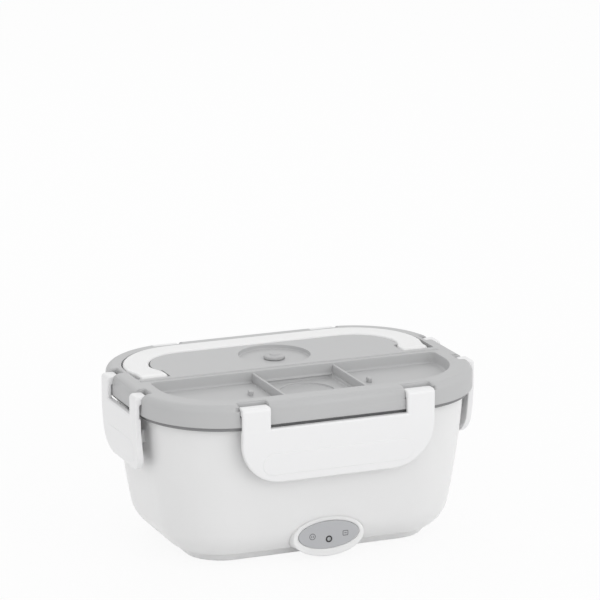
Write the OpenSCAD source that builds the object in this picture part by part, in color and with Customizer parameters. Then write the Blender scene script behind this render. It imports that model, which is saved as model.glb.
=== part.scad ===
// Electric lunch box: heated base, lift-out steel tray, side-dish container and clip-down lid.
// The front is -Y, up is +Z and the table is at z = 0. The origin is the middle of the footprint.
// Every ring-shaped piece is one profile carried round the same rounded rectangle, the spine.
// In a profile, x is the distance outwards from the spine and y is the height.

/* [Base] */
// Length of the base at its rim
base_l = 216; // [206:2:236]
// Width of the base at its rim
base_w = 150; // [144:2:170]
// Height of the rim above the table
base_h = 97; // [94:1:108]
// Corner radius of the rim in plan
rim_r = 51; // [49:1:54]
// Thickness of the base's wall
shell_t = 2.4; // [2:0.1:2.8]
// Lean of the wall at the rim, in degrees
lean_rim = 3.5; // [3:0.1:4]
// Lean of the wall where the bottom curve starts, in degrees
lean_low = 11; // [10.5:0.1:12]
// Lean of the bottom curve where the shell ends, in degrees
lean_seam = 60; // [56:1:62]
// Radius of the curve at the bottom of the shell
bottom_r = 24; // [22:1:26]
// Height of the seam between the shell and the bottom cover
seam_z = 6.5; // [6:0.1:7]

/* [Latch ledges] */
// Length of the front and rear ledges
long_ledge_l = 92; // [80:1:96]
// Length of the side ledges
side_ledge_l = 39; // [34:1:40]
// Height of a ledge
ledge_h = 8.7; // [8:0.1:9]
// How far a ledge stands out at its lower edge
ledge_out = 3.4; // [3:0.1:3.6]
// Distance from the rim down to a ledge
ledge_drop = 11.6; // [11:0.1:12]

/* [Bottom cover] */
// How far the cover steps in under the shell
cover_step = 1.2; // [1:0.1:1.5]
// Thickness of the cover
cover_t = 2; // [1.8:0.1:2.2]
// Gap between the cover and the table
ground_gap = 1.2; // [1:0.1:1.4]
// Radius of a rubber foot
foot_r = 6; // [5:0.5:6.5]

/* [Indicator panel] */
// Width of the oval panel
panel_w = 42; // [38:1:44]
// Height of the oval panel
panel_h = 18.5; // [17:0.5:19]
// Height of the panel's centre above the table
panel_z = 16.6; // [16.2:0.1:17]
// Thickness of the panel plate
panel_t = 1.2; // [1:0.1:1.4]
// Radius of the indicator's lens
lens_r = 1.3; // [1.1:0.1:1.5]

/* [Power inlet] */
// Radius of each lobe of the inlet
inlet_r = 4.4; // [4.2:0.1:4.6]
// Distance between the inlet's pins
pin_gap = 8.6; // [8.4:0.1:8.8]
// Radius of an inlet pin
inlet_pin_r = 1.2; // [1.1:0.05:1.3]
// Depth of the inlet
inlet_depth = 10; // [9:0.5:10.5]
// Height of the inlet's centre above the table
inlet_z = 15.2; // [15:0.1:15.6]

/* [Heater] */
// Height of the tray's underside above the table
tray_z = 27.7; // [27:0.1:29]
// Length of the heating plate
plate_l = 110; // [100:2:116]
// Width of the heating plate
plate_w = 60; // [56:1:64]
// Thickness of the heating plate above the deck
plate_t = 1.4; // [1.2:0.1:1.6]
// Thickness of the deck
deck_t = 2.2; // [2:0.1:2.4]
// Height of a heater block
heater_h = 4.4; // [4:0.1:4.8]

/* [Tray] */
// Gap between the tray and the base's wall
tray_gap = 0.5; // [0.4:0.1:0.8]
// Thickness of the tray's sheet
sheet_t = 0.8; // [0.6:0.1:1]
// Radius of the tray's bottom edge
tray_r = 20; // [18:1:22]
// Radius of the rolled rim
bead_r = 1.25; // [1.1:0.05:1.4]

/* [Container] */
// Place of the container's flat wall along the length
cup_x = 20; // [10:1:30]
// Gap between the container and the tray's wall
cup_gap = 3.5; // [3.2:0.1:4]
// Height of the cup
cup_h = 58; // [50:1:59]
// Thickness of the cup's wall
cup_t = 1.2; // [1:0.1:1.4]
// Radius of the cup's bottom edge
cup_r = 14; // [12:1:16]
// Height of the container lid's skirt
cup_skirt_h = 8; // [7:0.5:9]

/* [Lid] */
// How far the lid reaches past the base's rim
lid_over = 6; // [5.6:0.1:6.4]
// Height of the lid
lid_h = 14.5; // [14.5:0.1:15.5]
// Thickness of the lid's wall
lid_t = 2.2; // [2:0.1:2.4]
// Radius of the lid's shoulder
shoulder_r = 5; // [4:0.5:5.5]
// Depth of the cutlery recess
recess_d = 7.5; // [6:0.5:8]
// Distance from the lid's edge to the recess
recess_in = 15; // [14.6:0.2:18]
// Width of the box between the recess's dividers
box_l = 54; // [48:2:60]
// Radius of the finger pit
pit_r = 18; // [14:1:20]
// Radius of the vent dish
dish_r = 24; // [20:1:24]
// Depth of the vent dish
dish_d = 3; // [2.5:0.1:3.2]
// Thickness of the seal
seal_t = 2; // [1.8:0.1:2.2]

/* [Carry handle] */
// Width of the handle's bar
bar_w = 17; // [14:1:18]
// Thickness of the handle's bar
bar_t = 6; // [5.4:0.2:6.4]
// Distance from the lid's edge to the handle
handle_in = 11; // [10.6:0.2:13]
// Radius of the handle's pivot end
pivot_r = 4; // [3.7:0.1:4.1]
// Radius of a handle pin
handle_pin_r = 1.5; // [1.3:0.1:1.7]
// Radial gap between a pin and what turns on it
pin_fit = 0.05; // [0.03:0.01:0.08]

/* [Latches] */
// Width of the front and rear latches
long_latch_w = 131; // [124:1:132]
// Width of an ear on the front and rear latches
long_ear_w = 19; // [16:1:20]
// Width of the side latches
side_latch_w = 64; // [58:1:66]
// Width of an ear on the side latches
side_ear_w = 11.5; // [10:0.5:12]
// Thickness of an ear outside the lid
ear_t = 3.4; // [3:0.1:3.6]
// Height of a latch's lower end above the table
latch_z = 60; // [58:0.5:64]
// Thickness of a latch's panel
latch_t = 2.6; // [2.2:0.1:3]
// Depth of a latch's edge
latch_d = 4; // [3.6:0.1:4.2]
// Radius of the front and rear latches' lower corners
long_corner_r = 28; // [24:1:30]
// Radius of the side latches' lower corners
side_corner_r = 14; // [12:1:16]
// Radius of a latch pin
latch_pin_r = 1; // [0.9:0.05:1.1]
// Thickness of the lip that catches under a ledge
lip_t = 2.2; // [2:0.1:2.6]

/* [Hidden] */
$fn = 72;

// Clearance between pieces that part or move past each other
gap = 0.3;
// Half lengths of the spine
spine_x = base_l / 2 - rim_r;
spine_y = base_w / 2 - rim_r;
// A length past every cut
far = 400;

// The wall is an arc from the rim to the bottom curve, which is a second arc
wall_r = (base_h - seam_z + bottom_r * (sin(lean_low) - sin(lean_seam)))
    / (sin(lean_low) - sin(lean_rim));
wall_x = rim_r - wall_r * cos(lean_rim);
wall_z = base_h + wall_r * sin(lean_rim);
curve_x = wall_x + (wall_r - bottom_r) * cos(lean_low);
curve_z = wall_z - (wall_r - bottom_r) * sin(lean_low);

// Distance of the shell's surface from the spine at a height, t inside the outer face
function wall_at(z, t = 0) = wall_x + sqrt(pow(wall_r - t, 2) - pow(wall_z - z, 2));
function curve_at(z, t = 0) = curve_x + sqrt(pow(bottom_r - t, 2) - pow(curve_z - z, 2));
function shell_at(z, t = 0) =
    z > curve_z - (bottom_r - t) * sin(lean_low) ? wall_at(z, t) : curve_at(z, t);

// Points along an arc of n steps from angle a to angle b
function arc(x, y, r, a, b, n) =
    [for (i = [0:n]) [x + r * cos(a + (b - a) * i / n), y + r * sin(a + (b - a) * i / n)]];
function tail(list) = [for (i = [1:len(list) - 1]) list[i]];

// Outline of the shell from height zt down to zb, t inside its outer face
function skin(t, zt, zb) = concat(
    arc(wall_x, wall_z, wall_r - t, -asin((wall_z - zt) / (wall_r - t)), -lean_low, 8),
    tail(arc(curve_x, curve_z, bottom_r - t, -lean_low, -asin((curve_z - zb) / (bottom_r - t)), 12)));

// Outline of a bowl that follows the wall from zt and ends in a flat floor at z0
function bowl(t, zt, z0, r) =
    let (w = wall_r - t, lean = asin((wall_z - z0 - r) / (w - r)), x = wall_x + (w - r) * cos(lean))
    concat(arc(wall_x, wall_z, w, -asin((wall_z - zt) / w), -lean, 8),
        tail(arc(x, z0 + r, r, -lean, -90, 12)));

// Heights of the stack
floor_z = ground_gap + cover_t;
deck_z = tray_z - gap - plate_t - deck_t;
tray_top = base_h + gap;
// The rolled rim lies just inside the base's outer face, clear of the latches
bead_x = rim_r - 0.35;
bead_top = tray_top + 2 * bead_r;
cup_z = tray_z + sheet_t + gap;
cup_top = cup_z + cup_h;
// Distance from the base's outer face to the cup
cup_in = shell_t + tray_gap + sheet_t + cup_gap;

// Lid
lid_x = rim_r + lid_over;
lid_z = base_h + 1;
lid_top = lid_z + lid_h;
seal_z = bead_top + gap;
// The seal's skirt hangs below the lid, between the tray's rim and the lid's wall
seal_drop = 2.5;
seal_gap = 0.4;
liner_t = 1.2;
liner_top = seal_z + seal_t + liner_t;
plug_x = wall_at(base_h, shell_t + tray_gap + sheet_t) - 1;
plug_t = 1.4;
plug_z = base_h - 2;
plate_z = lid_z + 0.4;
liner_plate_t = 1.4;
tub_t = 1.6;
recess_x = lid_x - recess_in;
recess_y = -8;
recess_z = lid_top - recess_d;
box_z = recess_z - 2;
pit_z = box_z - 1.4;
pit_back = 5;
pit_y = recess_y - pit_back - pit_r;
divider_t = 2;
ridge_w = 3;
ridge_h = 0.8;
ridge_y = -4;
dish_y = ridge_y + ridge_w / 2 + 4 + dish_r;
dish_z = lid_top - dish_d;
vent_r = 3.3;
// Height of the tube that guides the vent plug
vent_tube_h = dish_z - plate_z - liner_plate_t;

// Handle
bar_out = lid_x - handle_in;
bar_in = bar_out - bar_w;
pivot_y = 6;
pivot_z = lid_top + 1.1 - pivot_r;
bar_z = pivot_z + pivot_r - bar_t;
leg_in = spine_x + bar_in - 4;
leg_out = spine_x + bar_out;
groove_gap = 0.8;
handle_pin_grip = 2;

// Latches
hinge_x = lid_x - 3.2;
barrel_r = 2.8;
hinge_z = liner_top + tub_t + gap + barrel_r;
ear_top = hinge_z + barrel_r;
ear_round = 2.4;
ear_x = lid_x + gap;
latch_x = ear_x + ear_t;
window_z = lid_z - 1.5;
latch_bow = 200;
ledge_z = base_h - ledge_drop - ledge_h;
lip_z = ledge_z - gap;
ledge_step = 1.2;
lip_grip = 0.7;
lip_x = wall_at(ledge_z) + ledge_out - lip_grip;
pocket_gap = 0.4;
pin_grip = 1.6;

// Screws and small parts
screw_r = 1.25;
screw_fit = 0.05;
cover_screw_l = 13;
board_screw_r = 0.75;
board_post_r = 2;
boss_r = 3.4;
cover_boss_r = 4.6;
head_r = 2.7;
head_h = 1.6;
screw_x = spine_x + 15;
screw_y = spine_y + 8;
pad_z = floor_z + 3;
foot_x = spine_x - 2;
foot_y = spine_y + 2;
cover_x = curve_at(seam_z) - cover_step;

// Heater stack, from the plate's underside down
plate_r = 22;
plate_lip = 4.5;
hole_lip = 4;
plate_z0 = deck_z - 1.2;
heater_z = plate_z0 - heater_h;
clamp_t = 1.6;
clamp_z = heater_z - clamp_t;
pad_t = 3;
heater_w = 22;
// The heater blocks fill the room between the thermostat and the clamp's screws
clamp_screw_in = 9.5;
clamp_screw_x = plate_l / 2 - clamp_screw_in;
thermostat_r = 7.5;
thermostat_h = 5;
heater_in = thermostat_r + 1.5;
heater_gap = 1.1;
heater_l = clamp_screw_x - boss_r - heater_gap - heater_in;
heater_x = heater_in + heater_l / 2;
fuse_r = 1.8;
fuse_l = 16;
tab_l = 6;
tab_w = 3;
tab_t = 0.8;
tab_x = 4;
lead_r = 0.9;
// Room that a lead needs to turn, and how high it lies over the cover
lead_bend = 6;
lead_low = 4;
lead_in = 3;

// Indicator
bezel_r = lens_r + 1;
lens_z = panel_z - 3;
boss_w = panel_w + 7;
boss_h = panel_h + 8;
boss_z = panel_z - 1.2;
boss_d = 16;
panel_y = -(spine_y + wall_at(panel_z + panel_h / 2 + 2)) - 0.4;
seat_y = panel_y + panel_t;
stand_y = seat_y + shell_t;
board_y = stand_y + 3;
board_t = 1.6;
board_l = 28;
board_h = 12;
post_x = board_l / 3;

// Inlet
inlet_wall = 1.6;
inlet_corner = 4;
inlet_l = pin_gap + 2 * (inlet_r + inlet_wall);
inlet_h = 2 * (inlet_r + inlet_wall);
inlet_boss_l = inlet_l + 14;
inlet_boss_h = inlet_h + 9;
inlet_boss_r = 8;
inlet_tail = 4;
inlet_y = spine_y + wall_at(inlet_z + inlet_h / 2 + 5) + 0.4;
inlet_back = inlet_y - inlet_depth - inlet_tail;
pin_free = inlet_depth - 1;

// Carries the half outline below round the spine
module ring() {
    for (i = [0, 1]) rotate(180 * i) {
        translate([spine_x, spine_y, 0]) rotate_extrude(angle = 90) children();
        translate([-spine_x, spine_y, 0]) rotate(90) rotate_extrude(angle = 90) children();
        translate([-spine_x, spine_y, 0]) rotate([90, 0, 90]) linear_extrude(2 * spine_x) children();
        translate([spine_x, spine_y, 0]) rotate([90, 0, 0]) linear_extrude(2 * spine_y) children();
    }
}

// The block inside the spine between two heights
module core(z0, z1) {
    translate([-spine_x, -spine_y, z0]) cube([2 * spine_x, 2 * spine_y, z1 - z0]);
}

// A solid whose half outline is the list of points from the top down
module filled(points, z0, z1) {
    ring() polygon(concat([[0, z1]], points, [[0, z0]]));
    core(z0, z1);
}

// A straight-sided slab that reaches x past the spine
module slab(x, z0, z1) {
    filled([[x, z1], [x, z0]], z0, z1);
}

// A block between two corners, and what lies past a plane
module block(a, b) {
    translate(a) cube(b - a);
}
module beyond_x(x) {
    block([x, -far, -far], [far, far, far]);
}
module beyond_y(y) {
    block([-far, y, -far], [far, far, far]);
}

// Puts what is drawn for the rear side on the front, rear, left or right side
module at_front() { rotate(180) translate([0, spine_y, 0]) children(); }
module at_rear() { translate([0, spine_y, 0]) children(); }
module at_left() { rotate(90) translate([0, spine_x, 0]) children(); }
module at_right() { rotate(-90) translate([0, spine_x, 0]) children(); }

// A round bar along X, an outline in (y, z) carried along X, and one in (x, z) carried along Y
module bar_x(x0, x1, y, z, r) {
    translate([x0, y, z]) rotate([0, 90, 0]) cylinder(r = r, h = x1 - x0);
}
module run_x(x0, x1) {
    translate([x0, 0, 0]) rotate([90, 0, 90]) linear_extrude(x1 - x0) children();
}
module run_y(y0, y1) {
    translate([0, y1, 0]) rotate([90, 0, 0]) linear_extrude(y1 - y0) children();
}

// Flat outlines
module round_plate(l, w, r) {
    square([l - 2 * r, w], center = true);
    square([l, w - 2 * r], center = true);
    for (x = [-1, 1], y = [-1, 1]) translate([x * (l / 2 - r), y * (w / 2 - r)]) circle(r);
}
function oval(l, h, n = 60) =
    [for (i = [0:n - 1]) [l / 2 * cos(360 * i / n), h / 2 * sin(360 * i / n)]];

module four(x, y) {
    for (i = [-1, 1], j = [-1, 1]) translate([i * x, j * y, 0]) children();
}

// A screw standing on its head, with the head's top at z = 0
module screw(l) {
    translate([0, 0, -head_h]) cylinder(r = head_r, h = head_h);
    cylinder(r = screw_r, h = l);
}

// Base: the shell with its ledges and the bosses of the panel and the inlet
module ledge(l) {
    root = wall_at(ledge_z) - shell_t / 2;
    edge = wall_at(ledge_z) + ledge_out;
    top = ledge_z + ledge_h;
    crest = wall_at(top) + ledge_step;
    run_x(-l / 2, l / 2) polygon([[root, ledge_z], [edge, ledge_z], [edge, ledge_z + 1.4],
        [crest, top - 0.6], [crest - 0.6, top], [root, top]]);
}

// The space inside the shell, and where the bottom cover fits under it
module inside_shell() {
    filled(concat(skin(shell_t, base_h + 1, seam_z), [[curve_at(seam_z, shell_t), seam_z - 1]]),
        seam_z - 1, base_h + 1);
    slab(cover_x + gap, -1, seam_z);
}

// Posts behind the panel that the indicator board is screwed to
module board_posts() {
    for (x = [-1, 1]) translate([x * post_x, seat_y, lens_z]) rotate([-90, 0, 0])
        cylinder(r = board_post_r, h = board_y - seat_y);
}

module base_shell() {
    shelf_z = deck_z - 3.6;
    color("white") difference() {
        union() {
            difference() {
                filled(skin(0, base_h, seam_z), seam_z, base_h);
                inside_shell();
            }
            ring() polygon([[shell_at(deck_z, shell_t) + 0.6, deck_z],
                [shell_at(deck_z, shell_t) - 3, deck_z], [shell_at(deck_z, shell_t) - 3, deck_z - 1.2],
                [shell_at(shelf_z, shell_t) + 0.6, shelf_z]]);
            at_front() ledge(long_ledge_l);
            at_rear() ledge(long_ledge_l);
            at_left() ledge(side_ledge_l);
            at_right() ledge(side_ledge_l);
            difference() {
                union() {
                    translate([0, 0, boss_z]) run_y(panel_y, panel_y + boss_d) polygon(oval(boss_w, boss_h));
                    translate([0, 0, inlet_z]) run_y(inlet_y - boss_d, inlet_y)
                        round_plate(inlet_boss_l, inlet_boss_h, inlet_boss_r);
                }
                inside_shell();
            }
            board_posts();
        }
        // Space behind the panel, the seat of its plate and the way through for the light
        difference() {
            translate([0, 0, boss_z]) run_y(stand_y, panel_y + boss_d + 2)
                polygon(oval(boss_w - 2 * shell_t, boss_h - 2 * shell_t));
            board_posts();
            slab(cover_x, 0, seam_z);
        }
        translate([0, 0, panel_z]) run_y(panel_y - 1, seat_y) polygon(oval(panel_w, panel_h));
        translate([0, panel_y - 1, lens_z]) rotate([-90, 0, 0])
            cylinder(r = bezel_r + screw_fit, h = 6);
        for (x = [-1, 1]) translate([x * post_x, stand_y, lens_z]) rotate([-90, 0, 0])
            cylinder(r = board_screw_r + screw_fit, h = board_y - stand_y + 1);
        translate([0, 0, inlet_z]) run_y(inlet_y - boss_d - 4, inlet_y + 1)
            round_plate(inlet_l + 2 * gap, inlet_h + 2 * gap, inlet_corner);
    }
}

module bottom_cover() {
    low_x = cover_x - 3.3;
    color("white") difference() {
        union() {
            ring() polygon([[0, ground_gap], [low_x - 1.2, ground_gap], [low_x, ground_gap + 1.2],
                [cover_x, seam_z], [cover_x - cover_t, seam_z], [low_x - cover_t, floor_z], [0, floor_z]]);
            core(ground_gap, floor_z);
            four(screw_x, screw_y) translate([0, 0, ground_gap])
                cylinder(r = cover_boss_r, h = pad_z - ground_gap);
        }
        four(foot_x, foot_y) translate([0, 0, -1]) cylinder(r = foot_r + 0.2, h = 1 + ground_gap + 1);
        four(screw_x, screw_y) {
            translate([0, 0, -1]) cylinder(r = head_r + 0.2, h = 1 + ground_gap + head_h + 0.6);
            cylinder(r = screw_r + 0.2, h = pad_z + 1);
        }
    }
}

module rubber_feet() {
    color("dimgray") four(foot_x, foot_y) cylinder(r = foot_r, h = ground_gap + 1);
}

module cover_screws() {
    color("silver") four(screw_x, screw_y) translate([0, 0, ground_gap + head_h + 0.6]) screw(cover_screw_l);
}

// Heater: the deck is the floor of the well, and the plate lies in its opening
module heater_deck() {
    color("whitesmoke") difference() {
        union() {
            slab(shell_at(deck_z, shell_t) - 0.1, deck_z, deck_z + deck_t);
            four(screw_x, screw_y) translate([0, 0, pad_z]) cylinder(r = boss_r, h = deck_z - pad_z);
        }
        translate([0, 0, deck_z - 1]) linear_extrude(deck_t + 2)
            round_plate(plate_l - 2 * hole_lip, plate_w - 2 * hole_lip, plate_r - hole_lip);
        four(screw_x, screw_y) translate([0, 0, pad_z - 1])
            cylinder(r = screw_r + screw_fit, h = cover_screw_l + 1);
    }
}

module heating_plate() {
    color("silver") difference() {
        union() {
            translate([0, 0, deck_z + deck_t]) linear_extrude(plate_t) round_plate(plate_l, plate_w, plate_r);
            translate([0, 0, plate_z0]) linear_extrude(deck_z + deck_t - plate_z0)
                round_plate(plate_l - 2 * plate_lip, plate_w - 2 * plate_lip, plate_r - plate_lip);
            for (x = [-1, 1]) translate([x * clamp_screw_x, 0, heater_z])
                cylinder(r = boss_r, h = heater_h);
        }
        for (x = [-1, 1]) translate([x * clamp_screw_x, 0, heater_z - 1])
            cylinder(r = screw_r + screw_fit, h = 1 + heater_h + 1.5);
    }
}

module ptc_heaters() {
    color("tan") for (x = [-1, 1]) translate([x * heater_x - heater_l / 2, -heater_w / 2, heater_z])
        cube([heater_l, heater_w, heater_h]);
}

module heater_clamp() {
    color("gray") translate([0, 0, clamp_z]) linear_extrude(clamp_t) difference() {
        round_plate(2 * clamp_screw_x + 9, heater_w, 4);
        circle(thermostat_r + 0.5);
        for (x = [-1, 1]) translate([x * clamp_screw_x, 0]) circle(screw_r + 0.2);
    }
}

module clamp_screws() {
    color("silver") for (x = [-1, 1]) translate([x * clamp_screw_x, 0, clamp_z])
        screw(clamp_t + heater_h + 1);
}

module insulation_pad() {
    color("khaki") translate([0, 0, clamp_z - pad_t]) linear_extrude(pad_t) difference() {
        round_plate(plate_l - 4, plate_w - 12, 10);
        circle(thermostat_r + 1);
        for (x = [-1, 1]) translate([x * clamp_screw_x, 0]) circle(head_r + 0.4);
    }
}

module thermostat() {
    z = plate_z0 - thermostat_h;
    color("black") translate([0, 0, z]) cylinder(r = thermostat_r, h = thermostat_h);
    color("silver") for (x = [-1, 1])
        block([x * tab_x - tab_w / 2, -tab_t / 2, z - tab_l], [x * tab_x + tab_w / 2, tab_t / 2, z]);
}

module thermal_fuse() {
    color("white") bar_x(-fuse_l / 2, fuse_l / 2, heater_w / 2 + fuse_r + 1, plate_z0 - fuse_r, fuse_r);
}

// A lead is a tube of eight sides swept through its points
function unit(v) = v / norm(v);
function way(p, i) = unit(p[min(i + 1, len(p) - 1)] - p[max(i - 1, 0)]);
function soften(p) = concat([p[0]], [for (i = [0:len(p) - 2], k = [0.25, 0.75])
    p[i] + k * (p[i + 1] - p[i])], [p[len(p) - 1]]);
module lead(corners, r = lead_r) {
    sides = 8;
    p = soften(soften(corners));
    last = len(p) - 1;
    up = [0.28, 0.51, 0.81];
    points = [for (i = [0:last], j = [0:sides - 1])
        let (d = way(p, i), u = unit(cross(d, up)), v = cross(d, u), a = 360 * j / sides)
        p[i] + r * (u * cos(a) + v * sin(a))];
    walls = [for (i = [0:last - 1], j = [0:sides - 1]) let (k = (j + 1) % sides)
        [i * sides + j, i * sides + k, (i + 1) * sides + k, (i + 1) * sides + j]];
    polyhedron(concat([p[0], p[last]], points), concat(
        [for (w = walls) [w[0] + 2, w[3] + 2, w[2] + 2, w[1] + 2]],
        [for (j = [0:sides - 1]) [0, j + 2, (j + 1) % sides + 2]],
        [for (j = [0:sides - 1]) [1, last * sides + (j + 1) % sides + 2, last * sides + j + 2]]));
}

module wire_leads() {
    low = floor_z + lead_low;
    pin_x = pin_gap / 2;
    pin_end = inlet_back - inlet_tail;
    side = plate_w / 2 - lead_in;
    mid = heater_w / 2;
    tab_z = plate_z0 - thermostat_h - tab_l;
    hot_x = heater_x - lead_r;
    hot_z = heater_z + heater_h / 2;
    fuse_x = fuse_l / 2;
    turn_x = fuse_x + lead_bend;
    fuse_y = mid + fuse_r + 1;
    fuse_z = plate_z0 - fuse_r;
    board_back = board_y + board_t;
    color("firebrick") {
        lead([[-pin_x, pin_end, inlet_z], [-pin_x, pin_end - lead_bend, inlet_z],
            [-turn_x, side + tab_x, low], [-turn_x, side, fuse_z], [-turn_x, fuse_y, fuse_z],
            [-fuse_x, fuse_y, fuse_z]]);
        lead([[fuse_x, fuse_y, fuse_z], [turn_x, fuse_y, fuse_z], [turn_x, side, fuse_z],
            [turn_x - lead_in, side, low], [tab_x, tab_x, low], [tab_x, 0, low + lead_r],
            [tab_x, 0, tab_z]]);
    }
    color("royalblue") {
        lead([[pin_x, pin_end, inlet_z], [pin_x, pin_end - lead_bend, inlet_z],
            [hot_x, side + tab_x, low], [hot_x, side, hot_z], [hot_x, mid, hot_z]]);
        lead([[-tab_x, 0, tab_z], [-tab_x, 0, low + lead_r], [tab_x - hot_x, -tab_x, low],
            [-hot_x, -side, low], [-hot_x, -side, hot_z], [-hot_x, -mid, hot_z]]);
        lead([[hot_x, -mid, hot_z], [hot_x, -side, hot_z], [board_l / 2 - tab_x, -side - 2 * tab_x, low],
            [lead_bend, board_back + 2 * tab_x, lens_z], [lead_bend, board_back, lens_z]]);
    }
}

// Indicator in the front boss
module indicator_board() {
    color("darkgreen") run_y(board_y, board_y + board_t) difference() {
        translate([0, lens_z]) square([board_l, board_h], center = true);
        for (x = [-1, 1]) translate([x * post_x, lens_z]) circle(board_screw_r + 0.25);
    }
}

module board_screws() {
    color("silver") for (x = [-1, 1]) translate([x * post_x, board_y + board_t, lens_z])
        rotate([90, 0, 0]) {
            translate([0, 0, -1.2]) cylinder(r = 1.6, h = 1.2);
            cylinder(r = board_screw_r, h = board_t + board_y - stand_y - gap);
        }
}

module indicator_led() {
    color("ivory") translate([0, board_y, lens_z]) rotate([90, 0, 0]) {
        cylinder(r = lens_r + 0.6, h = 0.9);
        cylinder(r = lens_r, h = board_y - panel_y);
    }
}

module indicator_bezel() {
    color("black") translate([0, stand_y, lens_z]) rotate([90, 0, 0]) difference() {
        cylinder(r = bezel_r, h = stand_y - panel_y + 0.4);
        translate([0, 0, -1]) cylinder(r = lens_r + screw_fit, h = 10);
    }
}

module panel_plate() {
    color("gray") difference() {
        translate([0, 0, panel_z]) run_y(panel_y, seat_y) polygon(oval(panel_w - gap, panel_h - gap));
        translate([0, panel_y - 1, lens_z]) rotate([-90, 0, 0]) cylinder(r = bezel_r + screw_fit, h = 4);
    }
}

// Power inlet at the rear
module inlet_socket() {
    color("dimgray") difference() {
        translate([0, 0, inlet_z]) run_y(inlet_back, inlet_y) round_plate(inlet_l, inlet_h, inlet_corner);
        translate([0, 0, inlet_z]) run_y(inlet_y - inlet_depth, inlet_y + 1) {
            square([pin_gap, 2 * inlet_r - 1.2], center = true);
            for (x = [-1, 1]) translate([x * pin_gap / 2, 0]) circle(inlet_r);
        }
        for (x = [-1, 1]) translate([x * pin_gap / 2, inlet_back - 1, inlet_z]) rotate([-90, 0, 0])
            cylinder(r = lead_r + screw_fit, h = 8);
    }
}

module inlet_pins() {
    color("silver") for (x = [-1, 1]) translate([x * pin_gap / 2, inlet_y - inlet_depth, inlet_z]) {
        rotate([-90, 0, 0]) cylinder(r = inlet_pin_r, h = pin_free);
        rotate([90, 0, 0]) cylinder(r = lead_r, h = 2 * inlet_tail);
    }
}

// Tray and container
module steel_tray() {
    t = shell_t + tray_gap;
    top = tray_top + sheet_t;
    color("lightgray") difference() {
        union() {
            filled(bowl(t, top, tray_z, tray_r), tray_z, top);
            ring() {
                translate([wall_at(base_h, t) - 1, tray_top])
                    square([bead_x - wall_at(base_h, t) + 1, sheet_t]);
                translate([bead_x, tray_top + bead_r]) circle(bead_r);
            }
        }
        filled(bowl(t + sheet_t, top + 1, tray_z + sheet_t, tray_r - sheet_t), tray_z + sheet_t, top + 1);
    }
}

module container_cup() {
    color("aliceblue", 0.6) difference() {
        intersection() {
            filled(bowl(cup_in, cup_top, cup_z, cup_r), cup_z, cup_top);
            beyond_x(cup_x);
        }
        intersection() {
            filled(bowl(cup_in + cup_t, cup_top + 1, cup_z + cup_t, cup_r - cup_t),
                cup_z + cup_t, cup_top + 1);
            beyond_x(cup_x + cup_t);
        }
    }
}

module container_lid() {
    x = wall_at(cup_top, cup_in) + gap;
    top = cup_top + gap;
    color("aliceblue", 0.6) difference() {
        intersection() {
            slab(x + cup_t, cup_top - cup_skirt_h, top + cup_t);
            beyond_x(cup_x - gap - cup_t);
        }
        intersection() {
            slab(x, cup_top - cup_skirt_h - 1, top);
            beyond_x(cup_x - gap);
        }
    }
}

// Lid: outer surface, and the hollow under it
module lid_block() {
    filled(concat(arc(lid_x - shoulder_r, lid_top - shoulder_r, shoulder_r, 90, 0, 8), [[lid_x, lid_z]]),
        lid_z, lid_top);
}
module lid_hollow() {
    filled(concat(arc(lid_x - shoulder_r, lid_top - shoulder_r, shoulder_r - lid_t, 90, 0, 6),
        [[lid_x - lid_t, lid_z - 1]]), lid_z - 1, lid_top - lid_t);
}

// The cutlery recess, its deeper box and the finger pit, all grown by t
module recess(t) {
    difference() {
        union() {
            slab(recess_x + t, recess_z - t, lid_top + 1);
            intersection() {
                slab(recess_x + t, box_z - t, lid_top);
                block([-box_l / 2 - t, -far, 0], [box_l / 2 + t, far, far]);
            }
            intersection() {
                slab(recess_x + t, pit_z - t, lid_top);
                translate([0, pit_y, 0]) cylinder(r = pit_r + t, h = far);
            }
        }
        beyond_y(recess_y + t);
    }
}

module dividers() {
    for (x = [-1, 1]) intersection() {
        slab(recess_x + 0.5, recess_z - 0.5, lid_top - 1.5);
        block([x * (box_l / 2 + divider_t / 2) - divider_t / 2, -far, 0],
            [x * (box_l / 2 + divider_t / 2) + divider_t / 2, recess_y + 0.5, far]);
    }
}

// The groove that the handle lies in, grown by t
module handle_groove(t) {
    g = groove_gap + t;
    intersection() {
        ring() translate([bar_in - g, bar_z - gap - t]) square([bar_w + 2 * g, far]);
        beyond_y(pivot_y);
    }
    for (x = [-1, 1]) {
        a = x > 0 ? leg_in - g : -leg_out - g;
        b = x > 0 ? leg_out + g : -leg_in + g;
        block([a, pivot_y - pivot_r - g, pivot_z - pivot_r - gap - t], [b, pivot_y + pivot_r + g, far]);
        block([a, pivot_y, bar_z - gap - t], [b, pivot_y + 10 + g, far]);
    }
}

// Pockets for the two ears of one latch, grown by t
module ear_pockets(w, ear, t) {
    g = pocket_gap + t;
    for (x = [0, 1]) {
        a = x > 0 ? w / 2 - ear : -w / 2;
        block([a - g, hinge_x - 4.4 - t, liner_top + tub_t - t], [a + ear + g, lid_x + 5, lid_top + 1]);
    }
}
module all_pockets(t) {
    at_front() ear_pockets(long_latch_w, long_ear_w, t);
    at_rear() ear_pockets(long_latch_w, long_ear_w, t);
    at_left() ear_pockets(side_latch_w, side_ear_w, t);
    at_right() ear_pockets(side_latch_w, side_ear_w, t);
}

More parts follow.
